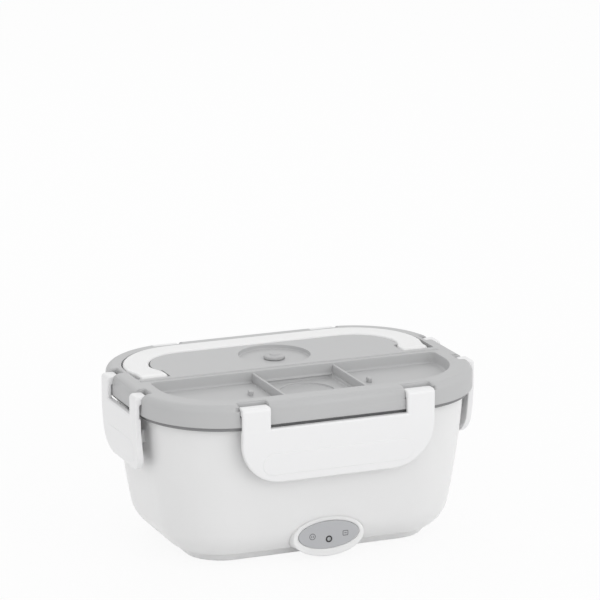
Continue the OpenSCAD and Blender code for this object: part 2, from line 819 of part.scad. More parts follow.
// The hinge pins of one latch, or the bores they sit in
module ear_pins(w, ear, r) {
    g = pocket_gap + pin_grip;
    bar_x(-w / 2 - g, -w / 2 + ear + g, hinge_x, hinge_z, r);
    bar_x(w / 2 - ear - g, w / 2 + g, hinge_x, hinge_z, r);
}
module all_ear_pins(r) {
    at_front() ear_pins(long_latch_w, long_ear_w, r);
    at_rear() ear_pins(long_latch_w, long_ear_w, r);
    at_left() ear_pins(side_latch_w, side_ear_w, r);
    at_right() ear_pins(side_latch_w, side_ear_w, r);
}
module all_handle_pins(r) {
    g = groove_gap + handle_pin_grip;
    bar_x(leg_in - g, leg_out + g, pivot_y, pivot_z, r);
    bar_x(-leg_out - g, -leg_in + g, pivot_y, pivot_z, r);
}

module lid_shell() {
    color("darkgray") difference() {
        union() {
            difference() {
                lid_block();
                lid_hollow();
            }
            intersection() {
                lid_block();
                union() {
                    recess(tub_t);
                    handle_groove(tub_t);
                    all_pockets(tub_t);
                    translate([0, dish_y, dish_z - tub_t]) cylinder(r = dish_r + tub_t, h = far);
                    translate([0, dish_y, plate_z + liner_plate_t + 0.2])
                        cylinder(r = vent_r + tub_t, h = vent_tube_h);
                }
            }
            block([-recess_x - spine_x, ridge_y - ridge_w / 2, lid_top - 1],
                [recess_x + spine_x, ridge_y + ridge_w / 2, lid_top + ridge_h]);
        }
        difference() {
            recess(0);
            dividers();
        }
        handle_groove(0);
        all_pockets(0);
        translate([0, dish_y, dish_z]) cylinder(r = dish_r, h = far);
        translate([0, dish_y, 0]) cylinder(r = vent_r, h = far);
        all_ear_pins(latch_pin_r + 0.02);
        all_handle_pins(handle_pin_r + 0.02);
    }
}

module lid_liner() {
    in_x = plug_x - plug_t;
    out_x = lid_x - lid_t - gap;
    color("gray") difference() {
        union() {
            ring() polygon([[0, plate_z], [in_x, plate_z], [in_x, plug_z], [plug_x, plug_z],
                [plug_x, liner_top - liner_t], [out_x, liner_top - liner_t], [out_x, liner_top],
                [in_x, liner_top], [in_x, plate_z + liner_plate_t], [0, plate_z + liner_plate_t]]);
            core(plate_z, plate_z + liner_plate_t);
        }
        translate([0, dish_y, plate_z - 1]) cylinder(r = vent_r - 1, h = liner_plate_t + 2);
    }
}

module lid_seal() {
    in_x = plug_x + gap;
    skirt_x = bead_x + bead_r + seal_gap;
    out_x = lid_x - lid_t - seal_gap;
    top = seal_z + seal_t;
    color("gainsboro") ring() polygon([[in_x, seal_z], [skirt_x, seal_z], [skirt_x, lid_z - seal_drop],
        [out_x, lid_z - seal_drop], [out_x, top], [in_x, top]]);
}

module latch_pins() {
    color("silver") all_ear_pins(latch_pin_r);
}

module handle_pins() {
    color("silver") all_handle_pins(handle_pin_r);
}

module vent_plug() {
    r = vent_r - gap;
    color("gainsboro") translate([0, dish_y, 0]) {
        translate([0, 0, plate_z + liner_plate_t + 1]) cylinder(r = r, h = vent_tube_h);
        translate([0, 0, dish_z + gap]) cylinder(r = 7, h = 2);
        translate([0, 0, dish_z + gap + 2]) cylinder(r = 2.6, h = 1);
    }
}

// Carry handle: a bail that lies round the rear half of the lid
module carry_handle() {
    c = 1.2;
    top = pivot_z + pivot_r;
    color("white") difference() {
        union() {
            intersection() {
                ring() polygon([[bar_in, bar_z + c], [bar_in + c, bar_z], [bar_out - c, bar_z],
                    [bar_out, bar_z + c], [bar_out, top - c], [bar_out - c, top], [bar_in + c, top],
                    [bar_in, top - c]]);
                beyond_y(pivot_y);
            }
            block([leg_in, pivot_y, bar_z], [leg_out, pivot_y + 10, top]);
            block([-leg_out, pivot_y, bar_z], [-leg_in, pivot_y + 10, top]);
            bar_x(leg_in, leg_out, pivot_y, pivot_z, pivot_r);
            bar_x(-leg_out, -leg_in, pivot_y, pivot_z, pivot_r);
        }
        bar_x(-far, far, pivot_y, pivot_z, handle_pin_r + pin_fit);
    }
}

// Latches, drawn for the rear side. The panel's outer face is bowed and its edge is deeper
module tongue(w, z0, z1, r) {
    translate([-w / 2 + r, z0]) square([w - 2 * r, z1 - z0]);
    translate([-w / 2, z0 + r]) square([w, z1 - z0 - r]);
    for (x = [-1, 1]) translate([x * (w / 2 - r), z0 + r]) circle(r);
}
function bow(t, z) = latch_x - latch_bow + sqrt(pow(latch_bow - t, 2) - pow(window_z - z, 2));
module bowed(t0, t1, z) {
    steps = 10;
    zs = [for (i = [0:steps]) window_z + (z - window_z) * i / steps];
    polygon(concat([for (v = zs) [bow(t0, v), v]],
        [for (i = [0:steps]) [bow(t1, zs[steps - i]), zs[steps - i]]]));
}

module latch(w, ear, r, lip) {
    difference() {
        union() {
            difference() {
                intersection() {
                    run_x(-w / 2, w / 2) bowed(0, latch_d, latch_z);
                    run_y(0, far) tongue(w, latch_z, window_z, r);
                }
                intersection() {
                    run_x(-w / 2, w / 2) bowed(latch_t, latch_d + 2, latch_z);
                    run_y(0, far) tongue(w - 2 * latch_t, latch_z + latch_t, window_z - latch_t, r - latch_t);
                }
            }
            run_x(-lip / 2, lip / 2) polygon([[lip_x, lip_z], [bow(latch_t / 2, lip_z), lip_z],
                [bow(latch_t / 2, lip_z), lip_z - lip_t], [lip_x + 1, lip_z - lip_t], [lip_x, lip_z - 0.6]]);
            for (x = [-w / 2, w / 2 - ear]) run_x(x, x + ear) {
                translate([ear_x, window_z - 1]) square([ear_t, ear_top - ear_round - window_z + 1]);
                translate([hinge_x, hinge_z - barrel_r])
                    square([latch_x - ear_round - hinge_x, 2 * barrel_r]);
                translate([latch_x - ear_round, ear_top - ear_round]) circle(ear_round);
                translate([hinge_x, hinge_z]) circle(barrel_r);
            }
        }
        bar_x(-far, far, hinge_x, hinge_z, latch_pin_r + pin_fit);
    }
}

module front_latch() {
    color("white") at_front() latch(long_latch_w, long_ear_w, long_corner_r, long_ledge_l);
}
module rear_latch() {
    color("white") at_rear() latch(long_latch_w, long_ear_w, long_corner_r, long_ledge_l);
}
module left_latch() {
    color("white") at_left() latch(side_latch_w, side_ear_w, side_corner_r, side_ledge_l);
}
module right_latch() {
    color("white") at_right() latch(side_latch_w, side_ear_w, side_corner_r, side_ledge_l);
}

base_shell();
bottom_cover();
rubber_feet();
cover_screws();
heater_deck();
heating_plate();
ptc_heaters();
heater_clamp();
clamp_screws();
insulation_pad();
thermostat();
thermal_fuse();
wire_leads();
indicator_board();
board_screws();
indicator_led();
indicator_bezel();
panel_plate();
inlet_socket();
inlet_pins();
steel_tray();
container_cup();
container_lid();
lid_shell();
lid_liner();
lid_seal();
latch_pins();
handle_pins();
carry_handle();
front_latch();
rear_latch();
left_latch();
right_latch();
vent_plug();
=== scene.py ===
"""Looks of the electric lunch box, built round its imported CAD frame.

The sizes in the classes are millimetres, in the CAD's own frame: the front is -Y, up is +Z and
the table is at z = 0. Most pieces are profiles carried round one rounded rectangle, the spine.
"""
import logging
import math
from dataclasses import dataclass, field
from enum import Enum
from typing import Callable, Iterable, Sequence

import bmesh
import bpy
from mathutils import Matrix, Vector


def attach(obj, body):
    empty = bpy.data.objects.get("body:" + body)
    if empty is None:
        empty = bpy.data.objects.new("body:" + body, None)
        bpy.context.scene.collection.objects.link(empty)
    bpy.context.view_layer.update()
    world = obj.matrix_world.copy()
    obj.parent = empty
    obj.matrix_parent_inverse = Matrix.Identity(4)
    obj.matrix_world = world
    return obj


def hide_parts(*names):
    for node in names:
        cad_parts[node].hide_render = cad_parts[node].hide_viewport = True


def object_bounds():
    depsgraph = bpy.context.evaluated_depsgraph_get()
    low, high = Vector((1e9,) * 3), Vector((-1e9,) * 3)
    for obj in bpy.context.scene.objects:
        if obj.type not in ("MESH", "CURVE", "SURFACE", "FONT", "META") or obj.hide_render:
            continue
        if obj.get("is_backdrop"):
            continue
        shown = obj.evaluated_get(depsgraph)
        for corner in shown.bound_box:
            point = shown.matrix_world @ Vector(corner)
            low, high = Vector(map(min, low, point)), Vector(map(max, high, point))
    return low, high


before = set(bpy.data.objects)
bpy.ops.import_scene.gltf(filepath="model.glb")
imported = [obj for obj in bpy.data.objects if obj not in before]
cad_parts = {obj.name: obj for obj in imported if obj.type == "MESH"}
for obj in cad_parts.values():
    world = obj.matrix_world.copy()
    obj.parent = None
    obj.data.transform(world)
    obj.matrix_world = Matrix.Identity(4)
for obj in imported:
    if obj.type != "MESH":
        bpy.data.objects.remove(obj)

LOG = logging.getLogger("lunch_box")
MM = 0.001
SPINE_X = 57.0
SPINE_Y = 24.0
CORNER_SHARE = 0.49  # Share of a straight run that one round corner may take up
NEARLY_STRAIGHT = 1.55  # Half angle, in radians, from which a corner isn't rounded
TOUCHING = 1e-5  # Distance below which two points of a ring count as one
WELD = 0.002  # Distance below which two points of a piece are joined
DUST_COLOR = (0.62, 0.6, 0.57, 1)
DULLING = 0.25  # Roughness that full wear or dust adds

Flat = tuple[float, float]
Spot = tuple[float, float, float]
Ring = list[bmesh.types.BMVert]
Place = Callable[[float, float, float], Spot]


def arc(x: float, y: float, r: float, start: float, end: float, steps: int) -> list[Flat]:
    """Gives the points along an arc round (x, y), from start to end in degrees, ends included."""
    turn = [math.radians(start + (end - start) * i / steps) for i in range(steps + 1)]
    return [(x + r * math.cos(a), y + r * math.sin(a)) for a in turn]


def rounded(points: Sequence[Spot], steps: int = 5) -> list[Flat]:
    """Rounds the corners of an open line.

    Args:
        points: Corners as (first, second, radius); the two ends stay where they are.
        steps: Steps in each round corner.

    Returns:
        The points of the rounded line.
    """
    line: list[Flat] = [points[0][:2]]
    for before, (x, y, r), after in zip(points, points[1:], points[2:]):
        corner = Vector((x, y))
        a, b = Vector((before[0] - x, before[1] - y)), Vector((after[0] - x, after[1] - y))
        room = CORNER_SHARE * min(a.length, b.length)
        a.normalize()
        b.normalize()
        half = a.angle(b, math.pi) / 2
        if r <= 0 or half > NEARLY_STRAIGHT:
            line.append((x, y))
            continue
        reach = min(r / math.tan(half), room)
        centre = corner + (a + b).normalized() * (reach * math.tan(half) / math.sin(half))
        first, last = corner + a * reach - centre, corner + b * reach - centre
        swing = first.angle_signed(last, 0.0)
        for i in range(steps + 1):
            c, s = math.cos(-swing * i / steps), math.sin(-swing * i / steps)
            line.append((centre.x + first.x * c - first.y * s, centre.y + first.x * s + first.y * c))
    line.append(points[-1][:2])
    return line


@dataclass(frozen=True)
class Outline:
    """A closed outline of straight runs and round corners, listed counter-clockwise.

    Attributes:
        corners: Each corner as (first, second, radius).
        steps: Steps in each round corner.
    """

    corners: tuple[Spot, ...]
    steps: int = 12

    def points(self, grow: float = 0.0) -> list[Flat]:
        """Gives the outline's points.

        Args:
            grow: Distance to move the outline outwards, or inwards when negative.

        Returns:
            The same number of points for every value of grow.
        """
        result: list[Flat] = []
        for i, (x, y, r) in enumerate(self.corners):
            before, after = self.corners[i - 1], self.corners[(i + 1) % len(self.corners)]
            d0 = Vector((x - before[0], y - before[1])).normalized()
            d1 = Vector((after[0] - x, after[1] - y)).normalized()
            n0, n1 = Vector((d0.y, -d0.x)), Vector((d1.y, -d1.x))
            turn = math.atan2(d0.x * d1.y - d0.y * d1.x, d0.dot(d1))
            side = 1.0 if turn > 0 else -1.0
            spread = (n0 + n1) / (1 + n0.dot(n1))
            reach = r + side * grow
            if reach <= 0:
                mitre = Vector((x, y)) + spread * grow
                result += [(mitre.x, mitre.y)] * (self.steps + 1)
                continue
            centre = Vector((x, y)) - spread * (side * r)
            base = math.atan2(n0.y, n0.x)
            for k in range(self.steps + 1):
                a = base + turn * k / self.steps
                result.append((centre.x + side * reach * math.cos(a), centre.y + side * reach * math.sin(a)))
        return result


@dataclass(frozen=True)
class Oval(Outline):
    """An ellipse, with its centre, length and height in place of corners."""

    x: float = 0.0
    y: float = 0.0
    length: float = 1.0
    height: float = 1.0

    def points(self, grow: float = 0.0) -> list[Flat]:
        """Gives the ellipse's points, one for each step, moved outwards by grow."""
        a, b, turn = self.length / 2 + grow, self.height / 2 + grow, 2 * math.pi / self.steps
        return [(self.x + a * math.cos(turn * i), self.y + b * math.sin(turn * i)) for i in range(self.steps)]


def oval(y: float, length: float, height: float) -> Oval:
    """An ellipse centred over the origin at height y."""
    return Oval((), 72, 0.0, y, length, height)


def circle(x: float, y: float, r: float, steps: int = 48) -> Oval:
    """A round outline."""
    return Oval((), steps, x, y, 2 * r, 2 * r)


def box_outline(x0: float, y0: float, x1: float, y1: float, r: float, steps: int = 8) -> Outline:
    """A rectangle between two corners, with corners of radius r."""
    return Outline(((x0, y0, r), (x1, y0, r), (x1, y1, r), (x0, y1, r)), steps)


def centred(x: float, y: float, half_x: float, half_y: float, r: float, steps: int = 8) -> Outline:
    """A rectangle round a centre, with corners of radius r."""
    return box_outline(x - half_x, y - half_y, x + half_x, y + half_y, r, steps)


SPINE = box_outline(-SPINE_X, -SPINE_Y, SPINE_X, SPINE_Y, 0.0, 20)


def upright(u: float, v: float, w: float) -> Spot:
    """Outlines lie flat and profiles run up."""
    return (u, v, w)


def facing_front(u: float, v: float, w: float) -> Spot:
    """Outlines stand in the plane of X and Z and profiles run along Y."""
    return (u, w, v)


def along_x(u: float, v: float, w: float) -> Spot:
    """Outlines stand in the plane of Y and Z and profiles run along X."""
    return (w, u, v)


class Side(Enum):
    """A side of the box, with the turn that brings a piece there from the rear."""

    REAR = 0
    LEFT = 90
    FRONT = 180
    RIGHT = 270

    def place(self, x: float, y: float, z: float) -> Spot:
        """Moves a point drawn for the rear, with y counted from the spine, to this side.

        Args:
            x: Distance along the side.
            y: Distance outwards from the spine.
            z: Height.

        Returns:
            The point in the CAD's frame.
        """
        y += SPINE_X if self in (Side.LEFT, Side.RIGHT) else SPINE_Y
        turn = math.radians(self.value)
        c, s = round(math.cos(turn)), round(math.sin(turn))
        return (x * c - y * s, x * s + y * c, z)


def new_object(name: str, data: bpy.types.ID) -> bpy.types.Object:
    """Makes an object and puts it into the scene.

    Args:
        name: Its name.
        data: Its mesh, light or camera.

    Returns:
        The object.
    """
    thing = bpy.data.objects.new(name, data)
    bpy.context.scene.collection.objects.link(thing)
    return thing


class Shape:
    """Collects the faces of one piece, in millimetres."""

    def __init__(self) -> None:
        """Starts with no faces."""
        self.bm = bmesh.new()

    def ring(self, points: Iterable[Spot]) -> Ring:
        """Adds points, and returns them as a ring."""
        return [self.bm.verts.new(p) for p in points]

    def chain(self, rings: Sequence[Ring]) -> None:
        """Joins each ring to the next with quads.

        Args:
            rings: Closed rings of the same length.
        """
        for a, b in zip(rings, rings[1:]):
            for i in range(len(a)):
                j = (i + 1) % len(a)
                self.bm.faces.new((a[i], a[j], b[j], b[i]))

    def fill(self, outer: Ring, holes: Sequence[Ring] = ()) -> None:
        """Fills a flat ring with triangles.

        Args:
            outer: The outer ring.
            holes: Rings that stay open.
        """
        edges = []
        for loop in (outer, *holes):
            kept = [vert for i, vert in enumerate(loop) if (vert.co - loop[i - 1].co).length > TOUCHING]
            for a, b in zip(kept, kept[1:] + kept[:1]):
                edges.append(self.bm.edges.get((a, b)) or self.bm.edges.new((a, b)))
        bmesh.ops.triangle_fill(self.bm, use_beauty=True, use_dissolve=False, edges=edges)

    def loft(self, outline: Outline, profile: Sequence[Flat], place: Place = upright,
             capped: bool = False) -> list[Ring]:
        """Carries a profile round an outline.

        Args:
            outline: The outline.
            profile: Points as (growth of the outline, height).
            place: Puts (first, second, height) into the CAD's frame.
            capped: Whether the first and the last ring are filled.

        Returns:
            The rings, one for each point of the profile.
        """
        rings = [self.ring(place(u, v, w) for u, v in outline.points(g)) for g, w in profile]
        self.chain(rings)
        for ring in (rings[0], rings[-1]) if capped else ():
            self.fill(ring)
        return rings

    def hoop(self, profile: Sequence[Flat], outline: Outline = SPINE, place: Place = upright) -> None:
        """Carries a closed profile round an outline."""
        rings = self.loft(outline, profile, place)
        self.chain([rings[-1], rings[0]])

    def block(self, outline: Outline, low: float, high: float, edge: float,
              place: Place = upright, steps: int = 3) -> None:
        """Adds a solid from low to high, with round edges of radius edge at both ends."""
        first = arc(-edge, low + edge, edge, -90, 0, steps)
        self.loft(outline, first + arc(-edge, high - edge, edge, 0, 90, steps), place, True)

    def pocket(self, outline: Outline, top: float, floor: float, lip: float, foot: float,
               draft: float = 0.0, steps: int = 4) -> tuple[Ring, Ring]:
        """Adds the wall of a pocket, with a round lip and a round foot.

        Args:
            outline: The pocket's outline below its lip.
            top: Height of the surface that it goes down from.
            floor: Height of its floor.
            lip: Radius of the lip.
            foot: Radius of the foot.
            draft: How far the wall leans in.
            steps: Steps in the lip and in the foot.

        Returns:
            The ring at the surface and the ring at the floor.
        """
        upper = arc(lip, top - lip, lip, 90, 180, steps)
        lower = arc(-draft - foot, floor + foot, foot, 0, -90, steps)
        rings = self.loft(outline, upper + lower)
        return rings[0], rings[-1]

    def bend(self, move: Callable[[Vector], Vector]) -> None:
        """Moves every point by a rule."""
        for vert in self.bm.verts:
            vert.co = move(vert.co)

    def slice(self, low: float, high: float, step: float) -> None:
        """Cuts edges into the faces at even heights, so that they can bend.

        Args:
            low: Lowest height.
            high: Highest height.
            step: Distance between the cuts.
        """
        z = low
        while z < high:
            parts = self.bm.verts[:] + self.bm.edges[:] + self.bm.faces[:]
            bmesh.ops.bisect_plane(self.bm, geom=parts, dist=TOUCHING, plane_co=(0, 0, z), plane_no=(0, 0, 1))
            z += step

    def mesh(self, name: str, material: bpy.types.Material) -> bpy.types.Mesh:
        """Turns the faces into a mesh in metres.

        Args:
            name: The mesh's name.
            material: Its material.

        Returns:
            The mesh.
        """
        bmesh.ops.scale(self.bm, vec=(MM, MM, MM), verts=self.bm.verts)
        mesh = bpy.data.meshes.new(name)
        self.bm.to_mesh(mesh)
        self.bm.free()
        mesh.materials.append(material)
        return mesh

    def piece(self, name: str, body: str, finish: "Finish",
              stands_for: Sequence[str] = ()) -> bpy.types.Object:
        """Makes the object.

        Args:
            name: Its name.
            body: The CAD body that it rides on.
            finish: Its finish.
            stands_for: CAD nodes that it replaces.

        Returns:
            The object.
        """
        bmesh.ops.remove_doubles(self.bm, verts=self.bm.verts, dist=WELD)
        bmesh.ops.recalc_face_normals(self.bm, faces=self.bm.faces)
        mesh = self.mesh(name, finish.material())
        mesh.shade_smooth()
        thing = new_object(name, mesh)
        thing.modifiers.new("shading", "WEIGHTED_NORMAL").keep_sharp = True
        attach(thing, body)
        if stands_for:
            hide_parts(*stands_for)
        LOG.info("%s: %d faces on %s", name, len(mesh.polygons), body)
        return thing


def cut(target: bpy.types.Object, tool: bpy.types.Object) -> None:
    """Cuts one object with another and removes the tool.

    Args:
        target: The object that is cut.
        tool: The object that is used up.
    """
    shading = target.modifiers["shading"]
    shading.show_viewport = False
    change = target.modifiers.new("cut", "BOOLEAN")
    change.operation, change.solver, change.object = "DIFFERENCE", "EXACT", tool
    shown = target.evaluated_get(bpy.context.evaluated_depsgraph_get())
    made = bpy.data.meshes.new_from_object(shown)
    shading.show_viewport = True
    target.modifiers.remove(change)
    made.materials.clear()
    made.materials.append(target.data.materials[0])
    target.data = made
    bpy.data.objects.remove(tool)


class Nodes:
    """A node tree with short ways to add and link nodes."""

    def __init__(self, tree: bpy.types.NodeTree) -> None:
        """Wraps a tree."""
        self.tree = tree

    def add(self, kind: str, **sockets: object) -> bpy.types.Node:
        """Adds a node.

        Args:
            kind: The node's type name, without ShaderNode before it.
            **sockets: Values or output sockets, by input name with _ for a space or by I and the
                input's number, and settings of the node itself, in lower case.

        Returns:
            The node.
        """
        node = self.tree.nodes.new("ShaderNode" + kind)
        for name, value in sorted(sockets.items(), key=lambda item: item[0][0].isupper()):
            if name[0].islower():
                setattr(node, name, value)
            elif name[1:].isdigit():
                self.join(node.inputs[int(name[1:])], value)
            else:
                self.join(node.inputs[name.replace("_", " ")], value)
        return node

    def join(self, socket: bpy.types.NodeSocket, value: object) -> None:
        """Links an output to a socket, or sets the socket's value.

        Args:
            socket: The input socket.
            value: An output socket or a plain value.
        """
        if isinstance(value, bpy.types.NodeSocket):
            self.tree.links.new(value, socket)
        else:
            socket.default_value = value

    def math(self, operation: str, a: object, b: object = 0.0, c: object = 0.0) -> bpy.types.NodeSocket:
        """Adds a Math node and returns its result."""
        return self.add("Math", operation=operation, I0=a, I1=b, I2=c).outputs[0]

    def spread(self, value: object, low: float, high: float, to_low: float = 0.0,
               to_high: float = 1.0) -> bpy.types.NodeSocket:
        """Adds a Map Range node, clamped, and returns its result."""
        return self.add("MapRange", Value=value, From_Min=low, From_Max=high,
                        To_Min=to_low, To_Max=to_high).outputs[0]

    def noise(self, place: object, scale: object, detail: float, rough: float = 0.5) -> bpy.types.NodeSocket:
        """Adds a Noise Texture node and returns its value."""
        return self.add("TexNoise", Vector=place, Scale=scale, Detail=detail, Roughness=rough).outputs["Fac"]

    def local(self) -> bpy.types.NodeSocket:
        """Adds a Texture Coordinate node and returns the place in the object's own frame."""
        return self.add("TexCoord").outputs["Object"]

    def blend(self, mask: object, a: object, b: object) -> bpy.types.NodeSocket:
        """Adds a Mix node for colours and returns its result."""
        return self.add("Mix", data_type="RGBA", I0=mask, I6=a, I7=b).outputs[2]

    def give(self, out: bpy.types.Node, **results: bpy.types.NodeSocket) -> bpy.types.NodeTree:
        """Links the results to a group's output node.

        Args:
            out: The output node.
            **results: Output sockets by the names of the group's outputs.

        Returns:
            The group.
        """
        for name, value in results.items():
            self.join(out.inputs[name], value)
        return self.tree


class Effect(Enum):
    """Effects that several finishes share, each one node group."""

    GRAIN = "mould_grain"
    WEAR = "edge_wear"
    DUST = "settled_dust"
    BRUSH = "brushed_lines"

    def place(self, nodes: Nodes, **values: object) -> bpy.types.Node:
        """Adds the effect's group, made the first time, to a material with its values."""
        group = bpy.data.node_groups.get(self.value) or getattr(self, "_" + self.name.lower())()
        return nodes.add("Group", node_tree=group, **values)

    def _start(self, outputs: Sequence[str], **inputs: object) -> tuple[Nodes, bpy.types.Node, bpy.types.Node]:
        """Makes an empty group.

        Args:
            outputs: Names of the outputs; Color is a colour and the others are numbers.
            **inputs: Values by name; a number, a vector of three or a colour of four.

        Returns:
            The group's nodes, its input node and its output node.
        """
        tree = bpy.data.node_groups.new(self.value, "ShaderNodeTree")
        kinds = {1: "NodeSocketFloat", 3: "NodeSocketVector", 4: "NodeSocketColor"}
        for name, value in inputs.items():
            kind = kinds[len(value) if isinstance(value, tuple) else 1]
            tree.interface.new_socket(name=name, in_out="INPUT", socket_type=kind).default_value = value
        for name in outputs:
            kind = kinds[4 if name == "Color" else 1]
            tree.interface.new_socket(name=name, in_out="OUTPUT", socket_type=kind)
        return Nodes(tree), tree.nodes.new("NodeGroupInput"), tree.nodes.new("NodeGroupOutput")

    def _grain(self) -> bpy.types.NodeTree:
        """Makes fine moulded texture with slight clouds of colour and gloss.

        Returns:
            The group.
        """
        nodes, given, out = self._start(("Color", "Roughness", "Height"), Color=(0.5, 0.5, 0.5, 1),
                                        Roughness=0.4, Scale=2500.0, Clouds=0.03, Mottle=0.05)
        place = nodes.local()
        fine = nodes.noise(place, given.outputs["Scale"], 3.0, 0.6)
        cloud = nodes.spread(nodes.noise(place, 38.0, 4.0, 0.55), 0.3, 0.7, -1.0)
        value = nodes.math("MULTIPLY_ADD", cloud, given.outputs["Clouds"], 1.0)
        tint = nodes.add("HueSaturation", Value=value, Color=given.outputs["Color"]).outputs[0]
        gloss = nodes.math("MULTIPLY_ADD", cloud, given.outputs["Mottle"], given.outputs["Roughness"])
        return nodes.give(out, Color=tint, Roughness=gloss, Height=fine)

    def _wear(self) -> bpy.types.NodeTree:
        """Makes a mask of rubbed edges, broken up by noise.

        Returns:
            The group.
        """
        nodes, given, out = self._start(("Mask",), Amount=0.3)
        edge = nodes.spread(nodes.add("NewGeometry").outputs["Pointiness"], 0.55, 0.66)
        patch = nodes.spread(nodes.noise(nodes.local(), 160.0, 5.0), 0.35, 0.65, 0.2)
        broken = nodes.math("MULTIPLY", edge, patch)
        return nodes.give(out, Mask=nodes.math("MULTIPLY", broken, given.outputs["Amount"]))

    def _dust(self) -> bpy.types.NodeTree:
        """Makes a mask of fine dust on faces that look up.

        Returns:
            The group.
        """
        nodes, given, out = self._start(("Mask",), Amount=0.1)
        up = nodes.add("SeparateXYZ", Vector=nodes.add("NewGeometry").outputs["Normal"]).outputs["Z"]
        specks = nodes.spread(nodes.noise(nodes.local(), 900.0, 6.0, 0.7), 0.5, 0.75)
        mask = nodes.math("MULTIPLY", nodes.spread(up, 0.5, 1.0), specks)
        return nodes.give(out, Mask=nodes.math("MULTIPLY", mask, given.outputs["Amount"]))

    def _brush(self) -> bpy.types.NodeTree:
        """Makes fine lines along the wall of drawn or rolled metal, with faint stains.

        Returns:
            The group.
        """
        nodes, given, out = self._start(("Color", "Roughness", "Height"), Color=(0.6, 0.6, 0.6, 1),
                                        Roughness=0.3, Stretch=(30.0, 30.0, 2600.0), Depth=0.1)
        place, depth = nodes.local(), given.outputs["Depth"]
        long = nodes.add("VectorMath", operation="MULTIPLY", I0=place, I1=given.outputs["Stretch"]).outputs[0]
        lines = nodes.noise(long, 1.0, 4.0, 0.6)
        stain = nodes.noise(place, 24.0, 5.0)
        line = nodes.spread(lines, 0.3, 0.7, -1.0)
        value = nodes.math("MULTIPLY_ADD", line, depth, nodes.spread(stain, 0.3, 0.7, 0.99, 1.01))
        tint = nodes.add("HueSaturation", Value=value, Color=given.outputs["Color"]).outputs[0]
        gloss = nodes.math("MULTIPLY_ADD", line, nodes.math("MULTIPLY", depth, 0.5), given.outputs["Roughness"])
        gloss = nodes.math("ADD", gloss, nodes.spread(stain, 0.3, 0.7, -0.01, 0.01))
        return nodes.give(out, Color=tint, Roughness=gloss, Height=lines)


@dataclass(frozen=True)
class Finish:
    """A finish of one of the box's pieces.

    Attributes:
        name: The material's name.
        color: Its colour.
        roughness: Its roughness.
        bump: Height of its texture, in millimetres.
        wear: Strength of the rubbed edges.
        dust: Strength of the dust.
    """

    name: str
    color: Spot
    roughness: float
    bump: float = 0.004
    wear: float = 0.25
    dust: float = 0.05

    def effect(self, nodes: Nodes) -> bpy.types.Node:
        """Adds the group that gives the colour, the gloss and the texture."""
        raise NotImplementedError

    def constants(self) -> dict[str, object]:
        """Gives the shader's sockets that stay the same all over."""
        return {}

    def worn(self) -> tuple[float, ...]:
        """Gives the paler colour of a rubbed edge."""
        return (*(min(1.0, c * 0.75 + 0.2) for c in self.color), 1)

    def material(self) -> bpy.types.Material:
        """Gives the material, made the first time.

        Returns:
            The material.
        """
        known = bpy.data.materials.get(self.name)
        if known:
            return known
        made = bpy.data.materials.new(self.name)
        made.use_nodes = True
        nodes = Nodes(made.node_tree)
        shader = made.node_tree.nodes["Principled BSDF"].inputs
        base = self.effect(nodes).outputs
        wear = Effect.WEAR.place(nodes, Amount=self.wear).outputs["Mask"]
        dust = Effect.DUST.place(nodes, Amount=self.dust).outputs["Mask"]
        color = nodes.blend(dust, nodes.blend(wear, base["Color"], self.worn()), DUST_COLOR)
        rough = nodes.math("MULTIPLY_ADD", nodes.math("ADD", wear, dust), DULLING, base["Roughness"])
        bump = nodes.add("Bump", Strength=1.0, Distance=self.bump * MM, Height=base["Height"]).outputs[0]
        results = {"Base Color": color, "Roughness": rough, "Normal": bump, **self.constants()}
        for name, value in results.items():
            nodes.join(shader[name], value)
        return made


@dataclass(frozen=True)
class Plastic(Finish):
    """Moulded plastic, rubber or ceramic.

    Attributes:
        grain: Scale of the moulded texture.
        clouds: Strength of the clouds in the colour.
        mottle: Strength of the clouds in the gloss.
        coat: Strength of a glossy skin.
        glow: How much light goes through.
        milk: How much light spreads inside.
    """

    grain: float = 2500.0
    clouds: float = 0.015
    mottle: float = 0.04
    coat: float = 0.0
    glow: float = 0.0
    milk: float = 0.0

    def effect(self, nodes: Nodes) -> bpy.types.Node:
        """Adds the moulded texture."""
        return Effect.GRAIN.place(nodes, Color=(*self.color, 1), Roughness=self.roughness,
                                  Scale=self.grain, Clouds=self.clouds, Mottle=self.mottle)

    def constants(self) -> dict[str, object]:
        """Gives the coat and the light that goes through or spreads inside."""
        return {"Coat Weight": self.coat, "Coat Roughness": 0.12, "Transmission Weight": self.glow, "IOR": 1.48,
                "Subsurface Weight": self.milk, "Subsurface Radius": (1.0, 1.0, 1.0), "Subsurface Scale": 0.005}


@dataclass(frozen=True)
class Metal(Finish):
    """Drawn, rolled or plated metal.

    Attributes:
        stretch: Scale of the lines along X, Y and Z.
        depth: Strength of the lines.
    """

    stretch: Spot = (30.0, 30.0, 2600.0)
    depth: float = 0.08

    def effect(self, nodes: Nodes) -> bpy.types.Node:
        """Adds the fine lines."""
        return Effect.BRUSH.place(nodes, Color=(*self.color, 1), Roughness=self.roughness,
                                  Stretch=self.stretch, Depth=self.depth)

    def constants(self) -> dict[str, object]:
        """Gives the metal its mirror."""
        return {"Metallic": 1.0}


